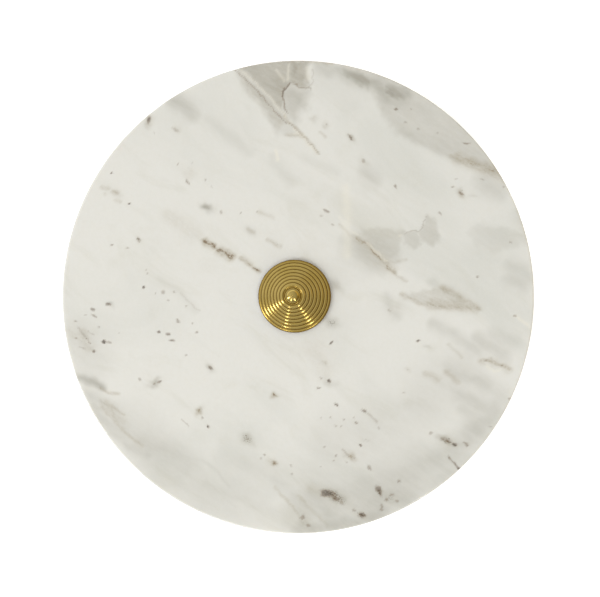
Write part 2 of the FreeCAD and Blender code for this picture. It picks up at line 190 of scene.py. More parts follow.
# ---- marble figure, listed in millimetres
# x runs right and y away on the plate, from its middle.

# soft grey bands: strength, half width, line. The narrow ones are the stone's veins; the broad ones, with
# half widths of 15 mm and more, are painted shade that darkens the plate towards its lower and left rim.
BANDS = (
    (0.32, 6, ((-86, 131), (-74, 125), (-60, 115))),
    (0.09, 4, ((-62, 117), (-48, 108), (-38, 100), (-26, 89))),
    (0.1, 4, ((-18, 92), (-9, 83), (-3, 75), (2, 69))),
    (0.07, 3.5, ((2, 91), (14, 86), (32, 79))),
    (0.19, 6, ((42, 86), (49, 76), (57, 69))),
    (0.3, 6, ((10, 150), (30, 144), (56, 134), (74, 122))),
    (0.26, 5, ((46, 143), (56, 131), (64, 121))),
    (0.2, 7, ((88, 106), (104, 95), (118, 87), (136, 76))),
    (0.2, 2.5, ((66, 108), (84, 97), (100, 89), (108, 85))),
    (0.2, 7, ((112, 78), (124, 70), (138, 62))),
    (0.14, 5, ((132, 22), (146, 16), (152, 8))),
    (0.14, 5, ((130, 12), (142, 8), (150, 2))),
    (0.12, 5, ((140, 56), (145, 48), (150, 38))),
    (0.06, 6, ((112, 34), (124, 29), (134, 26))),
    (0.24, 9, ((28, 40), (44, 28), (60, 14))),
    (0.17, 6, ((44, 38), (56, 31), (68, 20))),
    (0.12, 3, ((84, 11), (96, 5), (112, -6))),
    (0.14, 4, ((57, 5), (60, -4), (62, -11), (70, -16))),
    (0.18, 4, ((84, -14), (96, -22), (108, -30), (120, -38))),
    (0.2, 5, ((112, -23), (124, -32), (134, -38), (140, -42))),
    (0.11, 5, ((120, -22), (134, -28), (148, -31))),
    (0.2, 5, ((92, -42), (112, -52), (128, -58))),
    (0.22, 6, ((98, -60), (116, -68), (134, -75))),
    (0.12, 6, ((110, -54), (124, -59), (140, -64))),
    (0.15, 5, ((100, -70), (116, -76), (128, -82))),
    (0.16, 10, ((136, -60), (126, -78), (112, -98), (98, -112), (84, -124), (66, -134))),
    (0.2, 9, ((124, -74), (108, -92), (84, -106), (66, -114), (50, -116), (30, -128))),
    (0.18, 8, ((84, -120), (68, -128), (54, -134), (40, -143), (18, -148))),
    (0.2, 5, ((26, -130), (22, -140), (15, -150))),
    (0.2, 5, ((-6, -126), (6, -137), (14, -149))),
    (0.14, 4, ((6, -120), (18, -132), (30, -144))),
    (0.12, 3.5, ((-16, -116), (-2, -126), (8, -136))),
    (0.12, 4, ((-24, -132), (-12, -140), (0, -148))),
    # broad bands: painted shade towards the lower rim
    (0.13, 17, ((-112, -96), (-60, -126), (-10, -138))),
    (0.2, 16, ((-16, -140), (50, -132), (92, -112))),
    (0.1, 5, ((-66, -120), (-42, -129), (-16, -136))),
    (0.1, 16, ((-60, -104), (-20, -118), (20, -116), (60, -106), (96, -88))),
    (0.12, 1.8, ((-88, -94), (-72, -103), (-56, -108), (-48, -115), (-40, -124))),
    (0.11, 2, ((-60, -118), (-48, -127), (-36, -138))),
    (0.4, 3.4, ((-150, -50), (-138, -53), (-130, -56.5), (-122, -61.5))),
    (0.2, 5, ((-144, -60), (-128, -69), (-112, -77))),
    (0.24, 5, ((-136, -68), (-122, -84), (-106, -98), (-90, -106))),
    (0.14, 3, ((-124, -72), (-116, -80), (-108, -89), (-98, -96))),
    (0.16, 4, ((-106, -92), (-94, -98), (-84, -99), (-74, -106))),
    (0.11, 5, ((-150, -14), (-140, -26), (-130, -36))),
    (0.08, 3, ((-90, 14), (-76, 3), (-62, -10))),
    # broad bands: painted shade towards the left and lower left rim
    (0.13, 15, ((-150, -14), (-136, -36), (-122, -56))),
    (0.15, 15, ((-128, -74), (-104, -88), (-80, -106), (-56, -118))),
    # broad band: painted shade over the lower right
    (0.12, 18, ((0, -96), (40, -92), (76, -72), (106, -46), (118, -30))),
    (0.06, 9, ((2, 142), (24, 134), (50, 122))),
    (0.26, 7, ((-6, -150), (16, -149), (40, -145), (64, -136))),
    (0.16, 12, ((-6, -128), (24, -130), (46, -126))),
)

# brown and yellow streaks: strength, half width, line
STREAKS = (
    (1.0, 2.2, ((-61.5, 36.8), (-58, 35.5), (-54.5, 33.5), (-50, 31))),
    (0.95, 2.6, ((-52, 31.5), (-46, 28.2), (-37.5, 24))),
    (0.6, 1.5, ((-37, 25.5), (-33, 24), (-30, 21.5), (-27, 18.5))),
    (0.85, 1.2, ((-28, 19.5), (-25, 17.5), (-21.5, 16))),
    (0.16, 5, ((-88, 56), (-70, 44), (-58, 36))),
    (0.34, 1.2, ((-32, 44.5), (-28, 42), (-24.5, 41))),
    (0.4, 1.2, ((-19, 37.5), (-13, 34), (-7.5, 31))),
    (0.35, 1.1, ((-25, 55), (-18.5, 53), (-12, 49.5))),
    (0.3, 0.9, ((28, 47), (36, 39), (43, 35))),
    (0.8, 1.4, ((38, 38), (44, 34.5), (50, 30), (54.5, 25), (59.5, 19.5), (66, 13.5))),
    (0.45, 2.2, ((46, 33), (53, 26), (60, 19), (66, 14))),
    (0.35, 1.0, ((60, 17), (66, 12.5), (73, 9))),
    (0.28, 1.2, ((58, 22), (65, 22), (73, 23.5))),
    (0.4, 3.0, ((36, 40), (46, 33), (56, 24), (66, 14))),
    (0.18, 5, ((40, 34), (52, 25), (66, 12))),
    (0.5, 1.6, ((66, 1.5), (72, -0.5), (80, -4), (88, -6.5))),
    (0.55, 2.6, ((82, -5), (92, -6.3), (102, -7), (112, -7.5), (120, -9))),
    (0.55, 2.4, ((92, 6.5), (100, 2), (107, -2), (113, -5.5), (119, -9))),
    (0.42, 3.4, ((84, -3), (100, -4), (116, -8))),
    (0.3, 0.8, ((97, -30), (103, -35), (108, -40))),
    (0.7, 1.3, ((118, -40), (124, -41.5), (131, -43.8), (138, -47))),
    (0.3, 2.5, ((116, -40), (127, -43), (140, -48))),
    (0.42, 1.8, ((95, -47), (100, -50.5), (106, -57))),
    (0.32, 1.8, ((81, -48), (87, -50.5), (94, -54))),
    (0.22, 1.5, ((70, -45), (75, -49))),
    (0.5, 1.4, ((98, 90.5), (105, 87), (112, 84.5), (120, 82), (134, 78))),
    (0.6, 3.6, ((100, 90), (112, 85.5), (124, 81), (138, 74))),
    (0.45, 1.0, ((-7, 104), (-3, 104.2), (3, 104), (7, 101.5), (10, 98.5))),
    (0.3, 0.9, ((-36, 147.5), (-29, 142.5), (-21.5, 135), (-15, 128.5), (-10, 122), (-5, 115.5))),
    (0.6, 0.9, ((-8, 117.5), (-4, 112.5), (2, 107.5), (9, 100), (16, 91.5))),
    (0.3, 1.0, ((15, 106.5), (18, 104.5), (21, 101.5))),
    (0.4, 1.3, ((-128, 72.5), (-124, 71), (-120, 69.5))),
    (0.35, 1.5, ((-126, 67.5), (-123, 66.5))),
    (0.62, 1.8, ((-120.5, 68.8), (-117.5, 68), (-114.5, 66.5))),
    (0.35, 1.0, ((-119, 63.5), (-116, 62.5), (-113, 61))),
    (0.3, 1.6, ((2, 152), (4, 147), (7, 141), (9, 136))),
    (0.34, 1.3, ((-20, 149.5), (-4, 151.6), (12, 151.2), (26, 149.6))),
    (0.45, 1.0, ((-128, -59), (-122, -62.5), (-114, -63.5))),
    (0.4, 1.0, ((-128, -67), (-119, -72), (-110, -78))),
    (0.36, 1.1, ((-127, -71), (-118, -80), (-109, -90), (-98, -98))),
    (0.3, 1.2, ((-125, -66), (-120, -73), (-114, -84))),
    (0.3, 0.9, ((-14, -122), (-6, -130), (2, -139), (6, -148))),
    (0.3, 0.9, ((1, -127), (12, -138), (22, -148))),
    (0.16, 1.8, ((-128, -70), (-118, -76), (-110, -83))),
    (0.2, 2.0, ((-152, -20), (-140, -29), (-131, -36))),
    (0.25, 1.6, ((-80, 110.5), (-76, 108), (-74, 106))),
    (0.18, 5, ((-66, 86), (-69, 80), (-68, 74))),
    (0.14, 7, ((4, -28), (14, -36), (24, -56))),
    (0.2, 3, ((6, -122), (18, -126), (30, -130))),
    (0.2, 1.8, ((106, 88), (115, 82.5), (126, 75))),
    (0.16, 2.6, ((30, 148.5), (38, 146), (46, 142.5))),
)

# stained areas with a clear edge: grey, brown, edge softness, outline
STAINS = (
    (0.38, 0.22, 1.8, ((-38, 150), (-29, 142), (-22, 135), (-12, 124), (-9, 121), (-6, 127), (-7, 132),
        (-4, 137), (4, 152), (-20, 154))),
    (0.4, 0.26, 3.0, ((-4, 137), (4, 135), (9, 134), (7, 140), (9, 152), (-2, 153))),
    (0.28, 0.08, 5.0, ((-9, 120), (-8, 131), (-4, 136), (6, 134), (9, 131), (6, 122), (0, 112))),
    (0.24, 0.22, 3.5, ((-38, 149), (-35, 141), (-29, 131), (-22, 122), (-16, 115), (-10, 108), (-6, 114),
        (-14, 126), (-23, 136))),
    (0.12, 0.03, 2.5, ((-16, 118), (-13, 105), (-4, 104), (4, 104), (-4, 113), (-9, 119))),
    (0.34, 0.1, 3.0, ((29, 149), (38, 146.5), (47, 142), (51.5, 137), (47, 133.5), (39, 136.5), (32, 141))),
    (0.42, 0.08, 3.0, ((57.5, 137), (65, 137), (75, 133.5), (75, 128), (68, 125.5), (61, 127), (58, 131))),
    (0.17, 0.08, 3.2, ((40, 152), (48, 136), (55, 120), (62, 108), (72, 101), (86, 95), (102, 88),
        (122, 79), (142, 68), (150, 80), (112, 124), (70, 148))),
    (0.13, 0.0, 1.5, ((104, 88), (105, 93), (114, 92.5), (122, 90), (128, 84), (118, 85), (110, 86))),
    (0.14, 0.12, 2.0, ((42, 43), (55, 44), (66, 43), (71, 40), (68, 34), (67, 27), (60, 22), (50, 33),
        (43, 37))),
    (0.17, 0.06, 1.4, ((70, 38.5), (73, 41.5), (79, 41.5), (81.5, 38), (80.5, 33), (76, 31), (70.5, 33.5))),
    (0.15, 0.1, 1.4, ((80.5, 42), (83, 47), (85, 51.5), (88.5, 50.5), (91.5, 43), (93, 35), (88, 31.5),
        (82, 35))),
    (0.1, 0.0, 2.2, ((110, 41), (118, 45), (128, 45), (140, 42), (152, 37), (147, 33), (136, 30), (126, 27),
        (116, 33))),
    (0.12, 0.16, 1.8, ((70, 1), (84, 4), (95, 6), (106, 0.5), (114, -5), (119, -9), (104, -9), (88, -7),
        (78, -4.5))),
)

# fine dark lines: strength, half width, line
CRACKS = (
    (0.42, 0.6, ((10.8, 133.4), (8.8, 134.9), (7, 133.8), (5, 135.4), (3, 135), (1, 136.6), (-2, 137.6),
        (-4, 137))),
    (0.75, 0.8, ((-3, 137.4), (-5.5, 135.5), (-7, 133.5), (-8.2, 131.5), (-7.4, 128.5))),
    (0.6, 0.65, ((-7.6, 129), (-7, 126), (-6.6, 123), (-5.6, 120.5), (-5.2, 118.5))),
    (0.5, 0.5, ((-8, 135.6), (-6, 135))),
    (0.5, 0.6, ((-38.5, 146.5), (-31, 139.8), (-24.5, 133), (-17.5, 125), (-11, 117.5), (-5, 111.5))),
    (0.35, 0.4, ((-3, 111.5), (4, 104.5), (10, 98.5), (16, 91.5))),
    (0.2, 0.5, ((11.2, 146.6), (12.3, 144), (11, 141.2), (12.2, 139), (10.4, 136.2))),
    (0.16, 0.7, ((-75, 3), (-70, -2.5), (-65, -7), (-62, -9.5))),
    (0.8, 0.9, ((98.5, -102.6), (101.5, -106), (104.5, -109.6))),
    (0.35, 0.7, ((30.5, -98.5), (34, -101.5), (38.5, -104.5))),
    (0.3, 0.8, ((-141.5, -20.5), (-139, -24), (-136.5, -27), (-134, -30))),
    (0.28, 0.6, ((-135, -22), (-131.5, -25.5))),
    (0.3, 0.7, ((-141.5, -33), (-137.5, -33.8))),
    (0.35, 0.45, ((70, 39.5), (72.5, 41.3), (76, 41.7), (79.8, 41.4), (82, 45), (84.6, 51))),
    (0.3, 0.5, ((-73.5, -79.5), (-71, -82), (-68.5, -84.5))),
    (0.35, 0.8, ((46, -74.5), (50, -77.5), (53, -81))),
)

# pale lines: strength, half width, line
PALE = (
    (0.45, 0.4, ((-35, 146.4), (-29, 141.6), (-21.5, 134.4), (-15, 127.6), (-9, 119.8), (-5, 114.6))),
    (0.5, 0.5, ((-1, 108.6), (5, 103), (10, 97.4), (14, 93))),
    (0.5, 0.6, ((-3.6, 151), (-4.4, 146), (-4.4, 142), (-5.4, 138.6))),
    (0.45, 0.6, ((-13, 147), (-10, 143.6), (-8, 141), (-6, 138.2))),
    (0.6, 0.7, ((-13, 96), (-11.4, 93), (-11.8, 90.4), (-10.4, 87))),
    (0.42, 1.3, ((7, 149.6), (9, 146.5), (8.6, 143), (10, 139))),
    (0.6, 0.6, ((140, -12.6), (145, -16), (151, -20.6))),
    (0.4, 0.6, ((66, 38), (69, 39.6))),
    (0.5, 0.5, ((46, 34.4), (50, 31), (55, 26.2), (59.4, 21.6))),
    (0.4, 0.6, ((28, 52), (31, 48), (36, 42.6), (41, 38.4))),
    (0.5, 0.6, ((121, -44), (127, -47.4), (131, -48))),
    (0.4, 2.2, ((33, 74), (33.6, 52), (34, 22))),
    (0.35, 0.6, ((-2, 104.8), (3, 105), (7, 103))),
)

# dark spots: x, y, length, width, slant in degrees, strength
SPOTS = (
    (-95.5, 114.8, 4, 2.6, 75, 0.8), (36, 102.3, 4.4, 1.5, -52, 0.75), (-47.5, 54.5, 2, 1.5, -30, 0.5),
    (-102.2, 37, 3.6, 1.5, -62, 0.8), (-98.5, 6, 1.8, 1.7, 0, 1.0), (-108, 60.5, 1.7, 1.7, 0, 0.95),
    (-120, 80.5, 1.5, 1.5, 0, 0.9), (-76.6, 86, 1.7, 1.4, 0, 0.6), (-66.5, 87, 1.2, 1, 0, 0.45),
    (-69.6, 74.5, 3.2, 1.3, -50, 0.7), (-58, 75.6, 1.2, 1.2, 0, 0.55), (-54, 71, 1.2, 1, 0, 0.35),
    (-35.5, 54, 1.4, 1.3, 0, 0.6), (-24.5, 55, 1.2, 1, 0, 0.4), (-120, 33.6, 1.7, 1.5, 0, 0.7),
    (-109.5, 31.5, 2.4, 1.2, -20, 0.5), (-97, 17, 1.2, 1, 0, 0.4), (-85.7, 2.7, 2.6, 2, 0, 0.5),
    (-91, 2, 1.6, 1.2, 0, 0.45), (-78.7, 2.8, 1.5, 1.3, 0, 0.55), (-82.5, -2, 1.6, 1.2, 0, 0.4),
    (-96, 15, 1.3, 1.1, 0, 0.4), (-92, 106.5, 1.4, 1.2, 0, 0.4), (-78, 108.5, 5, 1.5, -25, 0.4),
    (-132, -8.4, 2.3, 1.7, 0, 0.65), (-131.5, -12.6, 3.6, 1.5, -35, 0.65), (-122, -5.3, 3.8, 1.6, 0, 0.7),
    (-137, -12, 1.6, 1.2, 0, 0.5), (-144, -16, 1.8, 1.2, 0, 0.5), (-127.7, -20, 1.8, 1.5, 0, 0.6),
    (-114.5, -23.5, 1.3, 1, 0, 0.4), (-134, -30, 2, 1.2, -20, 0.6), (-143, -27, 1.8, 1.2, 0, 0.5),
    (-125, -29.5, 3, 2, 0, 1.0), (-121, -30, 2.6, 1.6, 0, 0.5), (-131.3, -36, 2.2, 1.9, 0, 0.75),
    (-88.6, -23.1, 2.4, 1.5, -5, 0.85), (-82.3, -24.3, 3.2, 1.8, -5, 0.75),
    (-80, -28.4, 3.8, 1.4, -8, 0.75), (-76, -15.8, 3, 1.6, -40, 0.6), (-66.5, -17, 1.6, 1.2, 0, 0.45),
    (-64, -23.5, 2.2, 1.8, 0, 0.6), (-70.5, -38, 1.8, 1.5, 0, 0.6), (-71, -6.5, 1.6, 1.3, 0, 0.5),
    (-54.5, -46.3, 3.2, 2, -30, 0.7), (-88, -55.2, 2.2, 1.8, 0, 0.7), (-91.5, -56.5, 2.4, 1.5, 20, 0.45),
    (-100.8, -53.5, 2.6, 1.6, -50, 0.5), (-56, -84, 1.6, 1.6, 0, 1.0), (-60, -78.5, 2, 1.5, 0, 0.5),
    (-70.5, -82, 1.3, 1, 0, 0.35), (-13, -107.2, 2.6, 1.4, -10, 0.3), (-19.5, -102, 2, 1.5, 0, 0.5),
    (-22, -104.5, 1.8, 1.3, 0, 0.4), (-2, -108.5, 1.8, 1.3, 0, 0.5), (-1.5, -114.5, 1.5, 1.2, 0, 0.45),
    (20.4, 110.8, 1.5, 1.3, 0, 0.45), (65, 120, 2.4, 2, 0, 0.65), (75, 120.5, 1.5, 1.2, 0, 0.4),
    (110, 97.5, 4, 1.3, -15, 0.6), (71, 111, 2, 1.5, 0, 0.35), (79, 107, 1.8, 1.3, 0, 0.35),
    (92, 104.5, 1.8, 1.3, 0, 0.35), (120, 74.3, 3, 1.1, -25, 0.45), (133.5, 69.5, 1.8, 1.4, 0, 0.4),
    (103.5, 75, 1.1, 1.1, 0, 0.5), (101.6, 69.5, 2.6, 1.3, 30, 0.5), (106.6, 65.6, 3.8, 1.8, -50, 0.65),
    (64.8, 70, 2.4, 1.8, -50, 0.6), (44.5, 87, 2.4, 1.5, -50, 0.4), (93, 53, 3, 1.2, -55, 0.5),
    (20.5, 55, 4, 1.6, -30, 0.6), (17, 52, 2, 1.4, 0, 0.3), (24.5, 46, 2.4, 1.6, 0, 0.4),
    (116.5, 12, 1.8, 1.6, 0, 0.6), (138, 34.5, 1.6, 1.6, 0, 0.5), (23.5, -30, 2.6, 1.8, 45, 0.95),
    (22, -54.6, 2.7, 1.9, -25, 0.9), (15.5, -58.8, 2.4, 1.4, -20, 0.8), (17, -52.5, 1.8, 1.3, 0, 0.5),
    (27, -70, 2.8, 1.7, -35, 1.0), (44.6, -73.6, 4.4, 1.8, -25, 0.8), (39.5, -81, 2.2, 1.6, 0, 0.7),
    (38, -78, 1.6, 1.3, 0, 0.55), (31.5, -78.5, 1.6, 1.3, 0, 0.55), (23.5, -78, 1.5, 1.2, 0, 0.55),
    (17, -78, 1.4, 1.2, 0, 0.5), (26, -83, 1.5, 1.2, 0, 0.5), (30, -83.5, 1.5, 1.2, 0, 0.5),
    (53.5, -84.5, 1.6, 1.2, 0, 0.4), (42.2, -95.3, 2.2, 2, 0, 1.0), (19, -96.5, 1.8, 1.3, 0, 0.5),
    (26.5, -102, 1.8, 1.4, 0, 0.55), (25, -105.5, 1.5, 1.2, 0, 0.5), (33, -106, 1.5, 1.2, 0, 0.5),
    (16.5, -109, 1.5, 1.2, 0, 0.45), (48, -110, 3.6, 1.9, -50, 0.55), (67, -118, 2.6, 2, 0, 0.6),
    (21, -126.5, 8.6, 4.2, -12, 0.85), (26, -129.4, 5, 2.6, -30, 0.65), (30, -132, 4, 2, -40, 0.4),
    (30, -133, 3, 1.5, -45, 0.4), (54, -124.4, 6.6, 2.6, 116, 0.75), (62.5, -127, 2.4, 1.6, 0, 0.5),
    (65.5, -131, 2.4, 1.8, 0, 0.5), (58.5, -130, 2.6, 2, 0, 0.55), (56, -134, 2.4, 1.8, 0, 0.5),
    (55.5, -136.5, 2.4, 1.6, 0, 0.5), (43.3, -140.2, 4.6, 3, -15, 0.8), (38, -137, 2.4, 1.8, 0, 0.5),
    (5, -142, 3, 2, 0, 0.5), (8.5, -147, 3, 2, 0, 0.5), (79, -28.5, 2.2, 2, 0, 0.85),
    (140.5, -13, 1.8, 1.4, 0, 0.5), (70, -61.5, 1.4, 1.2, 0, 0.45), (136.5, -65, 1.8, 1.4, 0, 0.6),
    (124.5, -83, 1.8, 1.4, 0, 0.5), (61, -9, 2.6, 1.2, -20, 0.4), (102.2, -94.4, 3.4, 2.4, -10, 1.0),
    (94, -91, 3, 1.8, -25, 0.55), (98, -92.5, 2.6, 1.6, -25, 0.6), (109.4, -94.6, 3.2, 1.5, -55, 0.7),
    (107.6, -93, 1.6, 1, -50, 0.6), (87, -87.5, 2, 1.6, 0, 0.5), (98.8, -103, 1.6, 1.3, 0, 0.85),
    (104.4, -109.4, 2.2, 1.8, 0, 0.95), (122.5, -41.2, 1.6, 1.2, 0, 0.85), (132, -44.2, 1.7, 1.3, 0, 0.85),
    (72.5, -47, 1.8, 1.3, 0, 0.35),
)

# patches of small dark grains: x, y, length, width, slant in degrees, strength
GRAINS = (
    (26, -128.4, 18, 10, -30, 1.0), (32, -133, 7, 4, -40, 0.7), (-47, 29, 22, 6, -27, 0.75),
    (-43, 27, 6, 4, -20, 0.9), (-57, 35.5, 6, 4, -20, 0.8), (-33, 23.5, 8, 3, -35, 0.5),
    (-31, -92, 11, 7, -38, 1.0), (54, -125, 8, 5, 110, 1.0), (61, -129, 14, 8, -30, 0.75),
    (43, -140, 9, 6, -20, 1.0), (98, -92.5, 13, 6, -24, 1.0), (24, -17, 12, 7, -15, 0.85),
    (21, -56, 14, 8, -30, 0.4), (30, -80, 28, 9, -20, 0.35), (30, -102, 28, 14, -30, 0.4),
    (-82, -25, 16, 9, -20, 0.35), (-137, -27, 16, 18, -50, 0.55), (107, 67, 10, 5, -35, 0.6),
    (-13, 35, 12, 4, -32, 0.75), (-29, 43, 9, 4, -30, 0.6), (-18, 53, 14, 4, -30, 0.45),
    (-70, 80, 10, 16, 0, 0.3), (-84, 1, 14, 8, 0, 0.3), (109, -95, 5, 3.5, -30, 0.8),
    (46, -92, 8, 4, -25, 0.5), (-54.5, -46.5, 7, 4, -30, 0.5), (-91, -56, 9, 4, 25, 0.6),
    (6, -143, 12, 9, -40, 0.6), (-95.5, 114, 6, 7, 0, 0.4), (-96, -65, 12, 8, 0, 0.35),
    (14, 112, 12, 8, -30, 0.25), (110, -43, 24, 5, -20, 0.3), (102, -7, 30, 5, -6, 0.5),
    (-56, 57.5, 7, 5, -30, 0.6), (23, 54, 12, 6, -40, 0.35), (62, -6, 8, 12, 0, 0.35),
    (104, 70, 8, 3, 20, 0.45), (19, -43, 6, 4, -40, 0.4), (55, 25, 22, 4, -45, 0.4),
)

# soft blotches: x, y, length, width, slant in degrees, grey, brown
BLOTCHES = (
    (-56.5, 57.5, 8, 5, -30, 0.5, 0.12), (-28.5, 42.5, 9, 5, -30, 0.22, 0.1),
    (-121, -5.3, 6, 3, -5, 0.3, 0.1), (-54.5, -46.5, 6, 4, -30, 0.3, 0.1), (-91, -56, 10, 4, 25, 0.3, 0.12),
    (-61.5, -73.5, 6, 3.6, 65, 0.05, 0.85), (-31, -92, 10, 6, -38, 0.3, 0.25),
    (37, -103.2, 7, 3, -30, 0.2, 0.7), (-12.5, -63.5, 6, 2.8, 10, 0.05, 1.0),
    (23.5, -16.5, 11, 6, -15, 0.28, 0.1), (19, -43, 6, 4, -50, 0.1, 0.42), (46, -92, 7, 3, -25, 0.25, 0.1),
    (26, -128.4, 19, 10, -30, 0.5, 0.2), (43, -140, 9, 6, -20, 0.45, 0.3), (55, -125, 8, 5, 110, 0.45, 0.2),
    (62, -129, 14, 8, -30, 0.2, 0.1), (84.5, -33, 6, 3.5, -20, 0.22, 0.05),
    (97, -92, 15, 6, -22, 0.35, 0.35), (109, -94.5, 6, 3.5, -40, 0.3, 0.2),
    (-95.5, 114, 7, 8, 0, 0.15, 0.4), (36, 102.3, 6, 2.6, -50, 0.15, 0.5),
    (107, 65.8, 7, 4, -40, 0.12, 0.42), (115, 63.5, 7, 3, -15, 0.12, 0.15),
    (23, -55.5, 12, 6, -25, 0.2, 0.08), (6, -143, 12, 10, -40, 0.2, 0.15), (27, 7, 9, 5, -45, 0.2, 0.2),
    (45, 86, 8, 5, -40, 0.1, 0.15), (-13.5, -107, 6, 3, -5, 0.05, 0.85), (-102, 37, 5, 3, -60, 0.1, 0.4),
    (-117.5, 67.5, 9, 5, -20, 0.08, 0.2), (20.5, 110.8, 4, 4, 0, 0.08, 0.3),
    (12.5, 113.8, 5, 4, 0, 0.08, 0.2), (-22.5, 141, 4, 3, 0, 0.3, 0.25),
    (34, -101.5, 10, 4, -40, 0.2, 0.15), (-138, -26, 14, 10, -50, 0.22, 0.2),
    (65, -8, 10, 10, 0, 0.06, 0.1), (124, -41.5, 5, 3, -20, 0.1, 0.4), (132, -44, 5, 3, -20, 0.1, 0.4),
)


# ---- figure to numbers at the mesh's points

WAVE_COUNT = 14  # sine waves in one random field
END_TAPER, END_WIDTH = 1.6, 0.4  # a vein's ends narrow over 1.6 half widths, to 0.4 of its width
PALE_SPREAD = 1.4  # pale lines are drawn this much wider than listed
CRACK_EDGE, SPOT_EDGE = 1.4, 1.65  # a mark's outer edge, in half widths
BLOTCH_FADE, GRAIN_FADE = 1.2, 1.1
UNDERLAY = 0.4  # share of the grey that still adds up under a stronger band
# (reach, length) of the random bumps that bend drawn shapes: soft bands, fine marks, and stains' edges
SOFT_WANDER = ((0.7, 22), (0.45, 8))
FINE_WANDER = ((0.35, 6),)
RAGGED_WANDER = ((0.8, 11), (0.4, 4))


def waves(x, y, length, seed):
    """A smooth random field between about -1 and 1 whose bumps are about one length across."""
    rng = np.random.default_rng(seed)
    total = np.zeros_like(x)
    for _ in range(WAVE_COUNT):
        turn, phase = rng.uniform(0, 2 * math.pi, 2)
        pitch = length * rng.uniform(0.7, 1.6)
        total += np.sin(2 * math.pi * (x * math.cos(turn) + y * math.sin(turn)) / pitch + phase)
    return total / math.sqrt(WAVE_COUNT)


def wander(x, y, bumps, seed):
    """The points pushed about by smooth random fields, so that drawn shapes get natural edges."""
    moved = []
    for values in (x, y):
        for reach, length in bumps:
            values = values + reach * waves(x, y, length, seed)
            seed += 1
        moved.append(values)
    return moved


def line_place(x, y, line):
    """Each point's distance from a line of straight runs, and its way along it from the nearer end."""
    nearest, reached = np.full_like(x, np.inf), np.zeros_like(x)
    done = 0.0
    for (ax, ay), (bx, by) in zip(line, line[1:]):
        dx, dy = bx - ax, by - ay
        along = np.clip(((x - ax) * dx + (y - ay) * dy) / (dx * dx + dy * dy), 0, 1)
        distance = np.hypot(x - ax - along * dx, y - ay - along * dy)
        length = math.hypot(dx, dy)
        reached = np.where(distance < nearest, done + along * length, reached)
        nearest = np.minimum(nearest, distance)
        done += length
    return nearest, np.minimum(reached, done - reached)


def vein(x, y, line, width):
    """1 along the middle of a line, fading across it and towards its pointed ends."""
    distance, from_end = line_place(x, y, line)
    body = np.clip(from_end / (width * END_TAPER), 0, 1)
    body = body * (2 - body)
    return body * np.exp(-((distance / (width * (END_WIDTH + (1 - END_WIDTH) * body))) ** 2))


def inside(x, y, outline):
    """Signed distance from a closed outline, positive inside."""
    crossed = np.zeros(x.shape, bool)
    for (ax, ay), (bx, by) in zip(outline, outline[1:] + outline[:1]):
        spans = (ay > y) != (by > y)
        if ay != by:
            crossed ^= spans & (x < (bx - ax) * (y - ay) / (by - ay) + ax)
    distance = line_place(x, y, outline + outline[:1])[0]
    return np.where(crossed, distance, -distance)


def oval_distance(x, y, spot):
    """0 in the middle of an oval spot and 1 at its edge."""
    cx, cy, length, width, slant = spot[:5]
    turn = math.radians(slant)
    along = (x - cx) * math.cos(turn) + (y - cy) * math.sin(turn)
    across = (y - cy) * math.cos(turn) - (x - cx) * math.sin(turn)
    return np.hypot(along / (length / 2), across / (width / 2))


def soft_figure(x, y):
    """The grey (the stone's own, with painted shade from the broad bands) and the brown of bands, streaks,
    stains and blotches at each point.
    """
    soft = wander(x, y, SOFT_WANDER, seed=1)
    fine = wander(x, y, FINE_WANDER, seed=5)
    ragged = wander(x, y, RAGGED_WANDER, seed=7)
    grey_and_shade, brown = np.zeros_like(x), np.zeros_like(x)
    for strength, width, line in BANDS:
        grey_and_shade = np.maximum(grey_and_shade, UNDERLAY * grey_and_shade + strength * vein(*soft, line, width))
    for strength, width, line in STREAKS:
        brown = np.maximum(brown, strength * vein(*fine, line, width))
    for grey_part, brown_part, softness, outline in STAINS:
        cover = np.clip(0.5 + inside(*ragged, outline) / (2 * softness), 0, 1)
        cover = cover * cover * (3 - 2 * cover)
        grey_and_shade = np.maximum(grey_and_shade, grey_part * cover + UNDERLAY * grey_and_shade)
        brown = np.maximum(brown, brown_part * cover)
    for *oval, grey_part, brown_part in BLOTCHES:
        fade = np.exp(-BLOTCH_FADE * oval_distance(*ragged, oval) ** 2)
        grey_and_shade = np.maximum(grey_and_shade, grey_part * fade)
        brown = np.maximum(brown, brown_part * fade)
    return {"grey_and_shade": grey_and_shade, "brown": brown}


def fine_figure(x, y):
    """Cracks and spots (how far inside a mark, and how deep it is), pale lines and patches of grains."""
    fine = wander(x, y, FINE_WANDER, seed=5)
    dark, depth, pale, grains = (np.zeros_like(x) for _ in range(4))
    shapes = []
    for strength, width, line in CRACKS:
        shapes.append((strength, CRACK_EDGE - line_place(*fine, line)[0] / width))
    for *oval, strength in SPOTS:
        shapes.append((strength, SPOT_EDGE - oval_distance(*fine, oval)))
    for strength, shape in shapes:
        depth = np.where(shape > dark, strength, depth)
        dark = np.maximum(dark, np.minimum(shape, 1))
    for *oval, strength in GRAINS:
        grains = np.maximum(grains, strength * np.exp(-GRAIN_FADE * oval_distance(*fine, oval) ** 2))
    for strength, width, line in PALE:
        pale = np.maximum(pale, strength * vein(*fine, line, width * PALE_SPREAD))
    return {"dark": dark, "depth": depth, "pale": pale, "grains": grains}


# ---- materials

LIGHT_LEVEL = 1.185  # how bright a white surface on the plate looks in this studio, with display white as 1
BRIGHTEST = 0.95  # no painted surface sends back more of the light than this


def paint(red, green, blue):
    """The surface colour that shows as this 0 to 255 colour in the studio's light."""
    parts = []
    for value in (red, green, blue):
        value /= 255
        linear = value / 12.92 if value <= 0.04045 else ((value + 0.055) / 1.055) ** 2.4
        parts.append(min(linear / LIGHT_LEVEL, BRIGHTEST))
    return (*parts, 1.0)


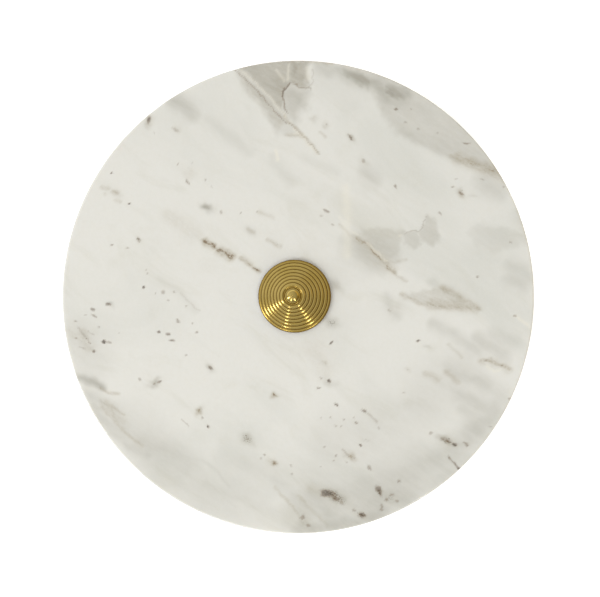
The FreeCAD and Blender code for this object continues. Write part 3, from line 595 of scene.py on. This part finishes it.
class Nodes:
    """Short calls for the node tree of a material or a world."""

    def __init__(self, owner):
        owner.use_nodes = True
        self.owner = owner
        self.tree = owner.node_tree

    def link(self, source, target):
        if isinstance(source, (int, float, tuple)):
            target.default_value = source
        else:
            self.tree.links.new(source, target)

    def node(self, kind, inputs=None, **settings):
        """Adds a node, and fills its inputs with values or with the outputs of other nodes."""
        node = self.tree.nodes.new(kind)
        for key, value in settings.items():
            setattr(node, key, value)
        for key, value in (inputs or {}).items():
            self.link(value, node.inputs[key])
        return node

    def coords(self, turn=0.0, stretch=(1, 1, 1)):
        """Object coordinates turned by an angle and then stretched along the turned axes."""
        source = self.node("ShaderNodeTexCoord").outputs["Object"]
        inputs = {"Vector": source, "Rotation": (0, 0, math.radians(turn)), "Scale": stretch}
        return self.node("ShaderNodeMapping", inputs, vector_type="TEXTURE").outputs["Vector"]

    def noise(self, vector, scale, detail=4.0, roughness=0.55, distortion=0.0):
        inputs = {"Vector": vector, "Scale": scale, "Detail": detail}
        inputs.update({"Roughness": roughness, "Distortion": distortion})
        return self.node("ShaderNodeTexNoise", inputs).outputs["Fac"]

    def cells(self, vector, scale):
        """How far each point is from the nearest of many scattered points."""
        return self.node("ShaderNodeTexVoronoi", {"Vector": vector, "Scale": scale}).outputs["Distance"]

    def math(self, operation, a, b=0.0, c=0.0):
        return self.node("ShaderNodeMath", {0: a, 1: b, 2: c}, operation=operation).outputs[0]

    def times(self, a, b):
        return self.math("MULTIPLY", a, b)

    def ramp(self, value, low, high, out_low=0.0, out_high=1.0, smooth=True):
        """A value from low to high turned into one from out_low to out_high, and held beyond the ends."""
        kind = "SMOOTHSTEP" if smooth else "LINEAR"
        inputs = {"Value": value, "From Min": low, "From Max": high, "To Min": out_low, "To Max": out_high}
        return self.node("ShaderNodeMapRange", inputs, interpolation_type=kind).outputs["Result"]

    def mix(self, factor, a, b):
        inputs = {"Factor": factor, "A": a, "B": b}
        return self.node("ShaderNodeMix", inputs, data_type="RGBA").outputs["Result"]

    def axes(self, vector):
        """The X, Y and Z of a vector."""
        return self.node("ShaderNodeSeparateXYZ", {"Vector": vector}).outputs

    def attribute(self, name):
        return self.node("ShaderNodeAttribute", attribute_name=name).outputs["Fac"]

    def bump(self, height, strength, distance):
        inputs = {"Height": height, "Strength": strength, "Distance": distance}
        return self.node("ShaderNodeBump", inputs).outputs["Normal"]

    def radius(self):
        """(distance from the turning axis, 0, height), for turned lines."""
        x, y, z = self.axes(self.node("ShaderNodeTexCoord").outputs["Object"])
        length = self.math("SQRT", self.math("MULTIPLY_ADD", y, y, self.times(x, x)))
        return self.node("ShaderNodeCombineXYZ", {"X": length, "Z": z}).outputs["Vector"]

    def finish(self, color, roughness, normal, **values):
        """Fills a material's shader and returns the material."""
        shader = self.tree.nodes["Principled BSDF"].inputs
        self.link(color, shader["Base Color"])
        self.link(roughness, shader["Roughness"])
        self.link(normal, shader["Normal"])
        for key, value in values.items():
            shader[key.replace("_", " ")].default_value = value
        return self.owner


def material_nodes(name):
    return Nodes(bpy.data.materials.new(name))


BEDDING = -33  # degrees from +X along which the stone's clouds run
UNDERSIDE_FADE = 8  # height over which the plate's random veins give way to its own figure
VEIN_LEVEL, VEIN_WIDTH = 0.56, 0.012  # the base's veins follow this level of the drifting clouds
WHITE, CLOUD, WISP = paint(228, 228, 223), paint(216, 217, 211), paint(210, 209, 198)
DUST, CRYSTAL, DRIFT = paint(218, 215, 204), paint(238, 238, 233), paint(160, 157, 145)
# the bands' grey is the stone's own and also the painted shade of the broad bands
GREY_BAND_AND_SHADE, PALE_LINE = paint(140, 137, 123), paint(238, 235, 222)
BROWN_EDGE, BROWN_CORE = paint(158, 144, 114), paint(106, 80, 52)
GRAIN, SPOT_EDGE_BROWN, SPOT_CORE = paint(90, 74, 52), paint(118, 94, 66), paint(42, 37, 30)
BASE_VEIN, BASE_SPECK = paint(150, 140, 122), paint(96, 84, 68)
POLISH = (0.17, 0.22)
STONE = {
    "Subsurface_Weight": 0.25,
    "Subsurface_Radius": (1.0, 0.9, 0.75),
    "Subsurface_Scale": 0.004,
    "IOR": 1.486,
}


def marble_ground(n, clouds, wisps, grain):
    """The white of the stone with its soft clouds, wisps, grain and crystals."""
    crystals = n.cells(n.coords(), 620)
    color = n.mix(n.ramp(clouds, 0.45, 0.75), WHITE, CLOUD)
    color = n.mix(n.ramp(wisps, 0.5, 0.75, 0, 0.45), color, WISP)
    color = n.mix(n.ramp(grain, 0.35, 0.7, 0, 0.12), color, DUST)
    return n.mix(n.ramp(crystals, 0.1, 0.6, 0.08, 0), color, CRYSTAL)


def plate_stains(n, color, flecks):
    """The plate's grey bands and stains, with the broad bands' painted shade, brown streaks and pale lines,
    broken up by noise.
    """
    stretched = n.noise(n.coords(BEDDING, (3.2, 1, 1)), 90, detail=6, roughness=0.65)
    grey_and_shade = n.times(n.attribute("grey_and_shade"), n.ramp(stretched, 0.3, 0.7, 0.85, 1.5))
    color = n.mix(grey_and_shade, color, GREY_BAND_AND_SHADE)
    streaky = n.noise(n.coords(BEDDING, (3.5, 1, 1)), 420, detail=5, roughness=0.7)
    broken = n.times(n.ramp(flecks, 0.3, 0.62, 0.75, 1.1), n.ramp(streaky, 0.3, 0.66, 0.55, 1.25))
    brown = n.times(n.attribute("brown"), broken)
    color = n.mix(n.ramp(brown, 0, 1, 0, 0.8, smooth=False), color, BROWN_EDGE)
    color = n.mix(n.ramp(brown, 0.55, 1.15, 0, 0.75), color, BROWN_CORE)
    pale = n.times(n.attribute("pale"), n.ramp(flecks, 0.25, 0.6, 0.6, 1.0))
    return n.mix(pale, color, PALE_LINE)


def plate_marks(n, color, flecks):
    """The plate's patches of grains, spots and cracks. Returns the colour and how deep the spots are."""
    grains = n.attribute("grains")
    dots = n.noise(n.coords(), 1150, detail=2, roughness=0.6)
    needed = n.ramp(grains, 0, 1, 0.8, 0.42, smooth=False)
    dotted = n.ramp(n.math("SUBTRACT", dots, needed), 0, 0.16)
    color = n.mix(n.times(dotted, n.ramp(grains, 0.05, 0.6, 0, 0.7)), color, GRAIN)
    edge = n.math("ADD", n.attribute("dark"), n.ramp(flecks, 0.25, 0.75, -0.3, 0.3, smooth=False))
    spot = n.times(n.ramp(edge, 0, 1.1), n.times(n.attribute("depth"), 0.9))
    spot_color = n.mix(n.ramp(spot, 0.35, 1), SPOT_EDGE_BROWN, SPOT_CORE)
    return n.mix(spot, color, spot_color), spot


def base_figure(n, color, drift, clouds, wisps):
    """Thin random veins and specks for the base, which the photo doesn't show."""
    from_level = n.math("ABSOLUTE", n.math("SUBTRACT", drift, VEIN_LEVEL))
    veins = n.times(n.ramp(from_level, 0, VEIN_WIDTH, 0.45, 0), n.ramp(clouds, 0.45, 0.6))
    color = n.mix(veins, color, BASE_VEIN)
    specks = n.ramp(n.cells(n.coords(BEDDING, (1.8, 1, 1)), 60), 0.05, 0.12, 0.7, 0)
    return n.mix(n.times(specks, n.ramp(wisps, 0.55, 0.65)), color, BASE_SPECK)


def marble(name, painted):
    """Polished white marble. The painted plate takes its figure from its mesh, the base only from noise."""
    n = material_nodes(name)
    slanted = n.coords(BEDDING, (2.4, 1, 1.2))
    clouds = n.noise(slanted, 13, detail=6, roughness=0.6, distortion=0.6)
    wisps = n.noise(slanted, 46, detail=7, roughness=0.62, distortion=0.9)
    grain = n.noise(n.coords(), 420, detail=4, roughness=0.6)
    drift = n.noise(n.coords(BEDDING, (3, 1, 1)), 20, detail=4, roughness=0.5, distortion=1.1)
    cover = n.ramp(drift, 0.48, 0.72, 0, 0.32)
    color = marble_ground(n, clouds, wisps, grain)
    height = n.times(grain, 0.3)
    if painted:
        z = n.axes(n.coords())[2]
        cover = n.times(cover, n.ramp(z, PLATE_BOTTOM * MM, (PLATE_BOTTOM + UNDERSIDE_FADE) * MM, 1, 0))
    color = n.mix(cover, color, DRIFT)
    if painted:
        flecks = n.noise(n.coords(), 760, detail=3, roughness=0.7)
        color = plate_stains(n, color, flecks)
        color, spot = plate_marks(n, color, flecks)
        height = n.math("SUBTRACT", height, spot)
    else:
        color = base_figure(n, color, drift, clouds, wisps)
    return n.finish(color, n.ramp(grain, 0.3, 0.7, *POLISH), n.bump(height, 0.2, 0.00002), **STONE)


BEADS = 8
BEAD_RADIUS = 1.45
FIRST_BEAD = (22.0, 1.7)  # the outermost bead's middle: radius, and height above the knob's foot
BEAD_STEP = (-2.17, 2.0)
CONE_COVER = 0.45
# where the knob's painted shade lies: across a groove, round the last bead, in the bend, up from the foot
GROOVE_SHADE_SPAN, GROOVE_SHADE_STRENGTH = (0.15, 1.25), 0.7
SHADED_GROOVES_END = (6.4, 7.0)
BEND_SHADE_INNER, BEND_SHADE_OUTER, BEND_SHADE_STRENGTH = (4.0, 5.0), (6.2, 6.8), 0.5
FOOT_SHADE_SPAN = (2.5, 3.4)
GROOVE_ROUGHNESS = 0.3


def bead_middle(number):
    """(radius, height above the knob's foot) of a bead, counted from 0 at the outermost."""
    return FIRST_BEAD[0] + BEAD_STEP[0] * number, FIRST_BEAD[1] + BEAD_STEP[1] * number


def knob_shade_mask(n, turned):
    """Painted shade: 1 in the grooves between the knob's beads, in the bend round the dome and round its
    foot, from (radius, 0, height) coordinates.
    """

    def between(value, span, out_low=0.0, out_high=1.0):
        low, high = (edge * MM for edge in span)
        return n.ramp(value, low, high, out_low, out_high)

    length = math.hypot(*BEAD_STEP)
    lean, rise = BEAD_STEP[1] / length, -BEAD_STEP[0] / length
    radius, _, height = n.axes(turned)
    start = (FIRST_BEAD[0] * lean + (FIRST_BEAD[1] + KNOB_BOTTOM) * rise) * MM
    outward = n.math("MULTIPLY_ADD", height, rise, n.math("MULTIPLY_ADD", radius, lean, -start))
    groove_shade = n.times(between(outward, GROOVE_SHADE_SPAN, GROOVE_SHADE_STRENGTH, 0), between(radius, SHADED_GROOVES_END))
    # painted shade in the bend between the last bead and the dome
    bend = n.times(between(radius, BEND_SHADE_INNER), between(radius, BEND_SHADE_OUTER, BEND_SHADE_STRENGTH, 0))
    # painted shade on the knob's foot, up from the marble
    foot = between(height, [KNOB_BOTTOM + edge for edge in FOOT_SHADE_SPAN], 1, 0)
    return n.math("MAXIMUM", n.math("MAXIMUM", groove_shade, bend), foot)


def turned_metal(name, color, dull, rough, line_scale, line_depth=0.00002, shade_color=None):
    """Metal off a lathe, with fine rings. The shade colour, if any, is painted shade in the knob's grooves,
    round its dome and at its foot, which are also made rougher.
    """
    n = material_nodes(name)
    turned = n.radius()
    lines = n.noise(turned, line_scale, detail=3, roughness=0.7)
    smudges = n.noise(n.coords(), 70, detail=5, roughness=0.6)
    surface = n.mix(n.ramp(smudges, 0.35, 0.75, 0, 0.5), color, dull)
    surface = n.mix(n.ramp(lines, 0.3, 0.8, 0, 0.3), surface, dull)
    gloss = n.math("ADD", n.ramp(lines, 0.3, 0.7, *rough), n.ramp(smudges, 0.4, 0.8, 0, 0.06))
    if shade_color:
        painted_shade = knob_shade_mask(n, turned)
        # painted shade in the knob's grooves, round its dome and at its foot
        surface = n.mix(painted_shade, surface, shade_color)
        gloss = n.math("MULTIPLY_ADD", painted_shade, GROOVE_ROUGHNESS, gloss)
    return n.finish(surface, gloss, n.bump(lines, 0.25, line_depth), Metallic=1.0)


def rolled_metal(name, color, dull, rough):
    """Plated or rolled metal: small crystals and scuffs."""
    n = material_nodes(name)
    spangle = n.cells(n.coords(), 900)
    scuffs = n.noise(n.coords(stretch=(1, 6, 1)), 240, detail=5, roughness=0.65)
    surface = n.mix(n.ramp(scuffs, 0.4, 0.75), color, dull)
    return n.finish(surface, n.ramp(spangle, 0, 0.8, *rough), n.bump(scuffs, 0.2, 0.00003), Metallic=1.0)


GRAINS_PER_MARK, GLOSS_SPREAD = 14, 0.08


def moulded(name, color, dust, roughness, grain_scale, depth):
    """Moulded rubber or plastic with a fine grain."""
    n = material_nodes(name)
    grain = n.noise(n.coords(), grain_scale, detail=4, roughness=0.6)
    marks = n.noise(n.coords(), grain_scale / GRAINS_PER_MARK, detail=5, roughness=0.6)
    surface = n.mix(n.ramp(marks, 0.4, 0.8, 0, 0.6), color, dust)
    rough = n.ramp(grain, 0.3, 0.7, roughness - GLOSS_SPREAD, roughness + GLOSS_SPREAD)
    return n.finish(surface, rough, n.bump(grain, 0.4, depth))


MARBLE_PLATE = marble("marble_plate", painted=True)
MARBLE_BASE = marble("marble_base", painted=False)
BRASS = turned_metal(
    "turned_brass",
    color=(0.46, 0.342, 0.112, 1),
    dull=(0.38, 0.272, 0.058, 1),
    rough=(0.12, 0.15),
    line_scale=2600,
    line_depth=0.000001,
    # painted shade for the knob's grooves, the bend round its dome and its foot
    shade_color=(0.22, 0.13, 0.01, 1),
)
# name, colour, dull colour, roughness from and to, and for turned metal its lines per metre
ALUMINIUM = turned_metal("turned_aluminium", (0.72, 0.73, 0.74, 1), (0.5, 0.51, 0.53, 1), (0.26, 0.42), 900)
ZINC_STEEL = rolled_metal("zinc_steel", (0.62, 0.63, 0.62, 1), (0.42, 0.43, 0.43, 1), (0.25, 0.45))
BALL_STEEL = rolled_metal("ball_steel", (0.7, 0.7, 0.71, 1), (0.6, 0.6, 0.62, 1), (0.06, 0.14))
INSERT_BRASS = rolled_metal("insert_brass", (0.72, 0.55, 0.22, 1), (0.5, 0.36, 0.14, 1), (0.25, 0.4))
# name, colour, dust, roughness, grains per metre and their depth
RUBBER = moulded("foot_rubber", (0.03, 0.03, 0.032, 1), (0.09, 0.09, 0.088, 1), 0.62, 1500, 0.00006)
NYLON = moulded("white_nylon", (0.72, 0.71, 0.67, 1), (0.58, 0.57, 0.52, 1), 0.45, 1200, 0.00003)
SILICONE = moulded("clear_silicone", (0.6, 0.6, 0.58, 1), (0.46, 0.46, 0.44, 1), 0.4, 1000, 0.00003)

CAD_FINISHES = (
    (NYLON, ("ball_cage", "stud_bush")),
    (BALL_STEEL, ("bearing_balls",)),
    (ALUMINIUM, ("inner_ring_lower", "inner_ring_upper", "outer_ring")),
    (ZINC_STEEL, ("ring_rivets", "base_screws", "top_screws")),
    (ZINC_STEEL, ("knob_stud", "stud_washer", "stud_lock_washer", "stud_nut")),
    (INSERT_BRASS, ("base_inserts", "top_inserts")),
    (SILICONE, ("knob_gasket",)),
    (RUBBER, ("rubber_foot_1", "rubber_foot_2", "rubber_foot_3", "rubber_foot_4")),
)
for finish, node_names in CAD_FINISHES:
    for node_name in node_names:
        for material_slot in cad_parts[node_name].material_slots:
            material_slot.material = finish


# ---- the plate

FIRST_RING, LAST_RING = 5, 138  # the top face's rings, from the bore out: ring k has 8k points
BORE_RADIUS = 5.0
EDGE_STEPS = 6
POCKET_RADIUS, POCKET_DEPTH = 13.0, 9.0
INSERT_RADIUS, INSERT_DEPTH = 4.0, 10.0
TOP_SCREW_CIRCLE = 48.0
SCREW_COUNT = 4  # screws in the plate, and as many in the base
HOLE_POINTS = 48


def edge_profile(radius, bottom, top, rounding, steps):
    """The rim from the top face's edge, round the arris, down the side and in to the bottom face's edge."""
    upper = arc((radius - rounding, top - rounding), rounding, 90, 0, steps)
    lower = arc((radius - rounding, bottom + rounding), rounding, 0, -90, steps)
    return upper + lower


def disc_lattice(build, first, last, inner, outer, height):
    """A flat annulus of near-square faces. Ring k has 8k points. Returns its inner and outer rings."""
    number, rings = {}, []
    for k in range(first, last + 1):
        walk = [(k, j) for j in range(-k, k)]
        walk += [(-j, k) for j in range(-k, k)]
        walk += [(-k, -j) for j in range(-k, k)]
        walk += [(j, -k) for j in range(-k, k)]
        radius = inner + (outer - inner) * (k - first) / (last - first)
        rings.append(build.ring(radius, height, len(walk), start=-45))
        number.update(zip(walk, rings[-1]))
    for i in range(-last, last):
        for j in range(-last, last):
            corners = [(i, j), (i + 1, j), (i + 1, j + 1), (i, j + 1)]
            if all(c in number for c in corners):
                build.faces.append(tuple(number[c] for c in corners))
    return rings[0], rings[-1]


def matching_ring(build, ring, radius, height):
    """A ring with a point under each point of another ring."""
    places = []
    for v in ring:
        x, y, _ = build.points[v]
        turn = math.atan2(y, x)
        places.append((radius * math.cos(turn), radius * math.sin(turn), height))
    return build.add(places)


def through_hole(build, centre, radius, mouth, end, count=HOLE_POINTS):
    """The wall of a hole. Returns the hole's two ends as flat() takes them."""
    rings = [build.ring(radius, height, count, centre) for height in (mouth, end)]
    build.strip(*rings)
    return [(ring, centre, radius) for ring in rings]


def blind_hole(build, centre, radius, mouth, end):
    """The wall and end of a blind hole. Returns its mouth as flat() takes it."""
    opening, deep = through_hole(build, centre, radius, mouth, end)
    build.cap(deep[0])
    return opening


def make_plate():
    build = Build()
    flat_radius = PLATE_RADIUS - EDGE_ROUNDING
    bore, rim = disc_lattice(build, FIRST_RING, LAST_RING, BORE_RADIUS, flat_radius, PLATE_TOP)
    last = rim
    for radius, height in edge_profile(PLATE_RADIUS, PLATE_BOTTOM, PLATE_TOP, EDGE_ROUNDING, EDGE_STEPS)[1:]:
        ring = matching_ring(build, rim, radius, height)
        build.strip(last, ring)
        last = ring
    roof = PLATE_BOTTOM + POCKET_DEPTH
    pocket = through_hole(build, (0, 0), POCKET_RADIUS, PLATE_BOTTOM, roof, HOLE_POINTS * 2)
    bore_end = matching_ring(build, bore, BORE_RADIUS, roof)
    build.strip(bore, bore_end)
    build.flat(pocket[1], [(bore_end, (0, 0), BORE_RADIUS)])
    holes = [pocket[0]]
    for centre in circle(TOP_SCREW_CIRCLE, SCREW_COUNT):
        holes.append(blind_hole(build, centre, INSERT_RADIUS, PLATE_BOTTOM, PLATE_BOTTOM + INSERT_DEPTH))
    build.flat((last, (0, 0), flat_radius), holes)
    mesh = build.mesh("plate_marble")
    places = np.array(build.points)
    # 1 on the top face, falling to 0 down the side
    on_top = np.clip((places[:, 2] - PLATE_BOTTOM) / (PLATE_TOP - PLATE_BOTTOM), 0, 1)
    x, y = places[:, 0], places[:, 1]
    for key, values in {**soft_figure(x, y), **fine_figure(x, y)}.items():
        layer = mesh.attributes.new(key, "FLOAT", "POINT")
        layer.data.foreach_set("value", (values * on_top).astype(np.float32))
    return mesh


place(make_plate(), "turntable", MARBLE_PLATE, "white_marble", "marble_top")


# ---- the base disc

BASE_BORE = 13.0
ACCESS_RADIUS = 6.0
BASE_SCREW_CIRCLE = 69.0
FOOT_CIRCLE, FOOT_RADIUS, FOOT_RECESS = 80.0, 10.0, 1.0
FOOT_COUNT, FOOT_AZIMUTH = 4, 45
BASE_POINTS = 480


def make_base():
    build = Build()
    rings = [
        build.ring(radius, height, BASE_POINTS)
        for radius, height in edge_profile(BASE_RADIUS, BASE_BOTTOM, BASE_TOP, EDGE_ROUNDING, EDGE_STEPS)
    ]
    for upper, lower in zip(rings, rings[1:]):
        build.strip(upper, lower)
    through = [
        through_hole(build, (0, 0), BASE_BORE, BASE_BOTTOM, BASE_TOP),
        through_hole(build, (TOP_SCREW_CIRCLE, 0), ACCESS_RADIUS, BASE_BOTTOM, BASE_TOP),
    ]
    below = [low for low, _ in through]
    above = [high for _, high in through]
    for centre in circle(FOOT_CIRCLE, FOOT_COUNT, start=FOOT_AZIMUTH):
        below.append(blind_hole(build, centre, FOOT_RADIUS, BASE_BOTTOM, BASE_BOTTOM + FOOT_RECESS))
    for centre in circle(BASE_SCREW_CIRCLE, SCREW_COUNT):
        above.append(blind_hole(build, centre, INSERT_RADIUS, BASE_TOP, BASE_TOP - INSERT_DEPTH))
    flat_radius = BASE_RADIUS - EDGE_ROUNDING
    build.flat((rings[0], (0, 0), flat_radius), above)
    build.flat((rings[-1], (0, 0), flat_radius), below)
    return build.mesh("base_marble")


place(make_base(), "base", MARBLE_BASE, "white_marble", "base_disc")


# ---- the knob

DOME_FOOT = 5.5
DOME_LIFT, DOME_HEIGHT = 0.6, 3.2
TIP_RADIUS, TIP_HEIGHT = 0.7, 0.5
GASKET_RADIUS, GASKET_THICKNESS = 19.0, 0.8
STUD_RADIUS, STUD_HOLE = 3.0, 12.5
KNOB_POINTS = 256
BEAD_STEPS, BEND_STEPS, DOME_STEPS, TIP_STEPS = 14, 10, 24, 8
LAST_BEAD_END = 116.0  # degrees from the radius towards +Z, where the bend into the dome starts
DOME_BLEND_ANGLE = 36.0  # degrees, where the bend ends on the dome


def cap_radius(half_width, height):
    """The radius of a round cap from its half width and its height."""
    return (half_width**2 + height**2) / (2 * height)


def circle_crossing(centre_a, radius_a, centre_b, radius_b):
    """The upper of the two points where two circles cross."""
    dx, dy = centre_b[0] - centre_a[0], centre_b[1] - centre_a[1]
    gap = math.hypot(dx, dy)
    along = (radius_a**2 - radius_b**2 + gap**2) / (2 * gap)
    side = math.sqrt(radius_a**2 - along**2)
    both = []
    for way in (side, -side):
        x = centre_a[0] + (along * dx - way * dy) / gap
        both.append((x, centre_a[1] + (along * dy + way * dx) / gap))
    return max(both, key=lambda point: point[1])


def direction(centre, point):
    """Where a point lies from a centre, in degrees from the radius towards +Z."""
    return math.degrees(math.atan2(point[1] - centre[1], point[0] - centre[0]))


def curve_between(start, corner, end, steps):
    """A soft bend from start to end, pulled towards a corner."""
    bend = []
    for step in range(steps + 1):
        t = step / steps
        parts = ((1 - t) ** 2, 2 * t * (1 - t), t * t)
        bend.append(tuple(sum(p * q for p, q in zip(parts, values)) for values in zip(start, corner, end)))
    return bend


def knob_profile():
    """From the axis inside the stud's hole, out under the knob, up over the beads and in to the tip."""
    slope = math.degrees(math.atan2(-BEAD_STEP[0], BEAD_STEP[1]))
    cover = CONE_COVER * math.cos(math.radians(slope))
    half_bead = math.degrees(math.acos(cover / BEAD_RADIUS))
    foot = -math.degrees(math.acos(CONE_COVER / BEAD_RADIUS))
    last = bead_middle(BEADS - 1)
    dome_arc = cap_radius(DOME_FOOT, DOME_HEIGHT)
    dome_centre = (0, last[1] + DOME_LIFT + DOME_HEIGHT - dome_arc)
    seam = circle_crossing(last, BEAD_RADIUS, dome_centre, dome_arc)
    tip_arc = cap_radius(TIP_RADIUS, TIP_HEIGHT)
    tip_foot = dome_centre[1] + math.sqrt(dome_arc**2 - TIP_RADIUS**2)
    tip_centre = (0, tip_foot + TIP_HEIGHT - tip_arc)
    points = [(0, STUD_HOLE), (STUD_RADIUS, STUD_HOLE), (STUD_RADIUS, GASKET_THICKNESS)]
    points += [(GASKET_RADIUS, GASKET_THICKNESS), (GASKET_RADIUS, 0), (FIRST_BEAD[0] + CONE_COVER, 0)]
    for i in range(BEADS):
        start = foot if i == 0 else slope - half_bead
        end = LAST_BEAD_END if i == BEADS - 1 else slope + half_bead
        points += arc(bead_middle(i), BEAD_RADIUS, start, end, BEAD_STEPS)
    tip_edge = (TIP_RADIUS, tip_foot)
    crown = arc(dome_centre, dome_arc, DOME_BLEND_ANGLE, direction(dome_centre, tip_edge), DOME_STEPS)
    points += curve_between(points[-1], seam, crown[0], BEND_STEPS)[1:-1] + crown
    points += arc(tip_centre, tip_arc, direction(tip_centre, tip_edge), 90, TIP_STEPS)[1:-1]
    points.append((0, tip_foot + TIP_HEIGHT))
    return [(radius, KNOB_BOTTOM + height) for radius, height in points]


place(lathe("knob_turned", knob_profile(), KNOB_POINTS), "turntable", BRASS, "knob_brass", "knob")


# ---- floor, lights and camera

FLOOR_RADIUS, FLOOR_POINTS = 6.0, 96
PAPER = ((0.9, 0.9, 0.9, 1), (0.93, 0.93, 0.93, 1))
FLOOR_GLOW = 0.42  # keeps the paper white where the plate shades it
WALL_LEVEL, CEILING_LEVEL = 0.4, 0.92
BRIGHT_SIDE, DARK_SIDE = 1.22, 0.7  # the walls' share of light towards -X and +X
# the walls' bright strip beyond +Y and the glow at the horizon: heights as the sine of the elevation
STRIP_HEIGHTS, STRIP_EDGE, STRIP_LEVEL = (0.34, 0.5), 0.08, 0.9
HORIZON_HEIGHTS, HORIZON_LEVEL = (0.16, 0.26), 0.72
DAYLIGHT, WARM_WALL = (1, 0.995, 0.99, 1), (1, 0.78, 0.32, 1)
WARM_DIMMING = 0.9
# the camera looks at the target from a little off straight above, as the photo's did
TARGET = Vector((0.0033, -0.00141, 0.0398))
CAMERA_DISTANCE, CAMERA_TILT, CAMERA_AZIMUTH = 0.8, 4.5, -12.0
CAMERA_LENS = 74.42

# the light's azimuth and elevation in degrees, distance, width, height, strength in watts
SOFT_BOXES = (
    (-62, 38, 2.8, 0.2, 1.4, 14.0),
    (-112, 38, 2.8, 0.12, 1.4, 9.5),
    (-154, 38, 2.8, 0.4, 1.5, 25.0),
)


def toward(azimuth, elevation):
    """The unit vector towards an azimuth and an elevation, in degrees."""
    a, e = math.radians(azimuth), math.radians(elevation)
    return Vector((math.cos(a) * math.cos(e), math.sin(a) * math.cos(e), math.sin(e)))


def make_floor():
    build = Build()
    build.cap(build.ring(FLOOR_RADIUS / MM, 0, FLOOR_POINTS))
    mesh = build.mesh("floor")
    floor = add_object("floor", mesh)
    n = material_nodes("floor_paper")
    fibre = n.noise(n.coords(), 60, detail=5)
    paper = n.mix(fibre, *PAPER)
    glow = {"Emission_Color": (1, 1, 1, 1), "Emission_Strength": FLOOR_GLOW}
    mesh.materials.append(n.finish(paper, 0.85, n.bump(fibre, 0.05, 0.0002), **glow))


def make_lights():
    for number, (azimuth, elevation, distance, width, height, power) in enumerate(SOFT_BOXES):
        data = bpy.data.lights.new(f"soft_box_{number + 1}", "AREA")
        data.shape = "RECTANGLE"
        data.size, data.size_y, data.energy = width, height, power
        light = add_object(data.name, data)
        back = toward(azimuth, elevation)
        light.location = back * distance
        light.rotation_euler = back.to_track_quat("Z", "Y").to_euler()
    bpy.context.scene.world = make_studio_walls()
    bpy.context.scene.view_settings.view_transform = "Standard"


def make_studio_walls():
    """Room light: a pale ceiling, darker and warmer walls towards +X, and a bright strip beyond +Y."""
    world = bpy.data.worlds.new("studio")
    n = Nodes(world)
    # the parts, from -1 to 1, of the direction looked in
    x, y, z = n.axes(n.node("ShaderNodeTexCoord").outputs["Generated"])
    ceiling = n.ramp(z, 0.1, 0.9, WALL_LEVEL, CEILING_LEVEL)
    low, high = STRIP_HEIGHTS
    strip = n.times(n.ramp(z, low - STRIP_EDGE, low), n.ramp(z, high, high + STRIP_EDGE, 1, 0))
    strip = n.times(strip, n.ramp(y, -0.15, 0.25, 0, STRIP_LEVEL))
    level = n.math("ADD", n.times(ceiling, n.ramp(x, -0.9, 0.9, BRIGHT_SIDE, DARK_SIDE)), strip)
    level = n.math("MAXIMUM", level, n.ramp(z, *HORIZON_HEIGHTS, HORIZON_LEVEL, 0))
    upper_wall = n.times(n.ramp(x, 0.1, 0.6), n.times(n.ramp(z, 0.4, 0.8, 1, 0), n.ramp(z, 0.2, 0.3)))
    lower_wall = n.times(n.ramp(x, 0.87, 0.97), n.ramp(z, 0.35, 0.45, 1, 0))
    warm = n.math("MAXIMUM", upper_wall, lower_wall)
    background = n.tree.nodes["Background"].inputs
    n.link(n.mix(warm, DAYLIGHT, WARM_WALL), background["Color"])
    n.link(n.times(level, n.ramp(warm, 0, 1, 1, WARM_DIMMING)), background["Strength"])
    return world


def make_camera():
    data = bpy.data.cameras.new("camera")
    data.lens = CAMERA_LENS
    camera = add_object("camera", data)
    back = toward(CAMERA_AZIMUTH, 90 - CAMERA_TILT)
    right = Vector((0, 1, 0)).cross(back).normalized()
    up = back.cross(right)
    turn = Matrix((right, up, back)).transposed().to_4x4()
    camera.matrix_world = Matrix.Translation(TARGET + back * CAMERA_DISTANCE) @ turn
    bpy.context.scene.camera = camera


make_floor()
make_lights()
make_camera()

bpy.context.view_layer.update()
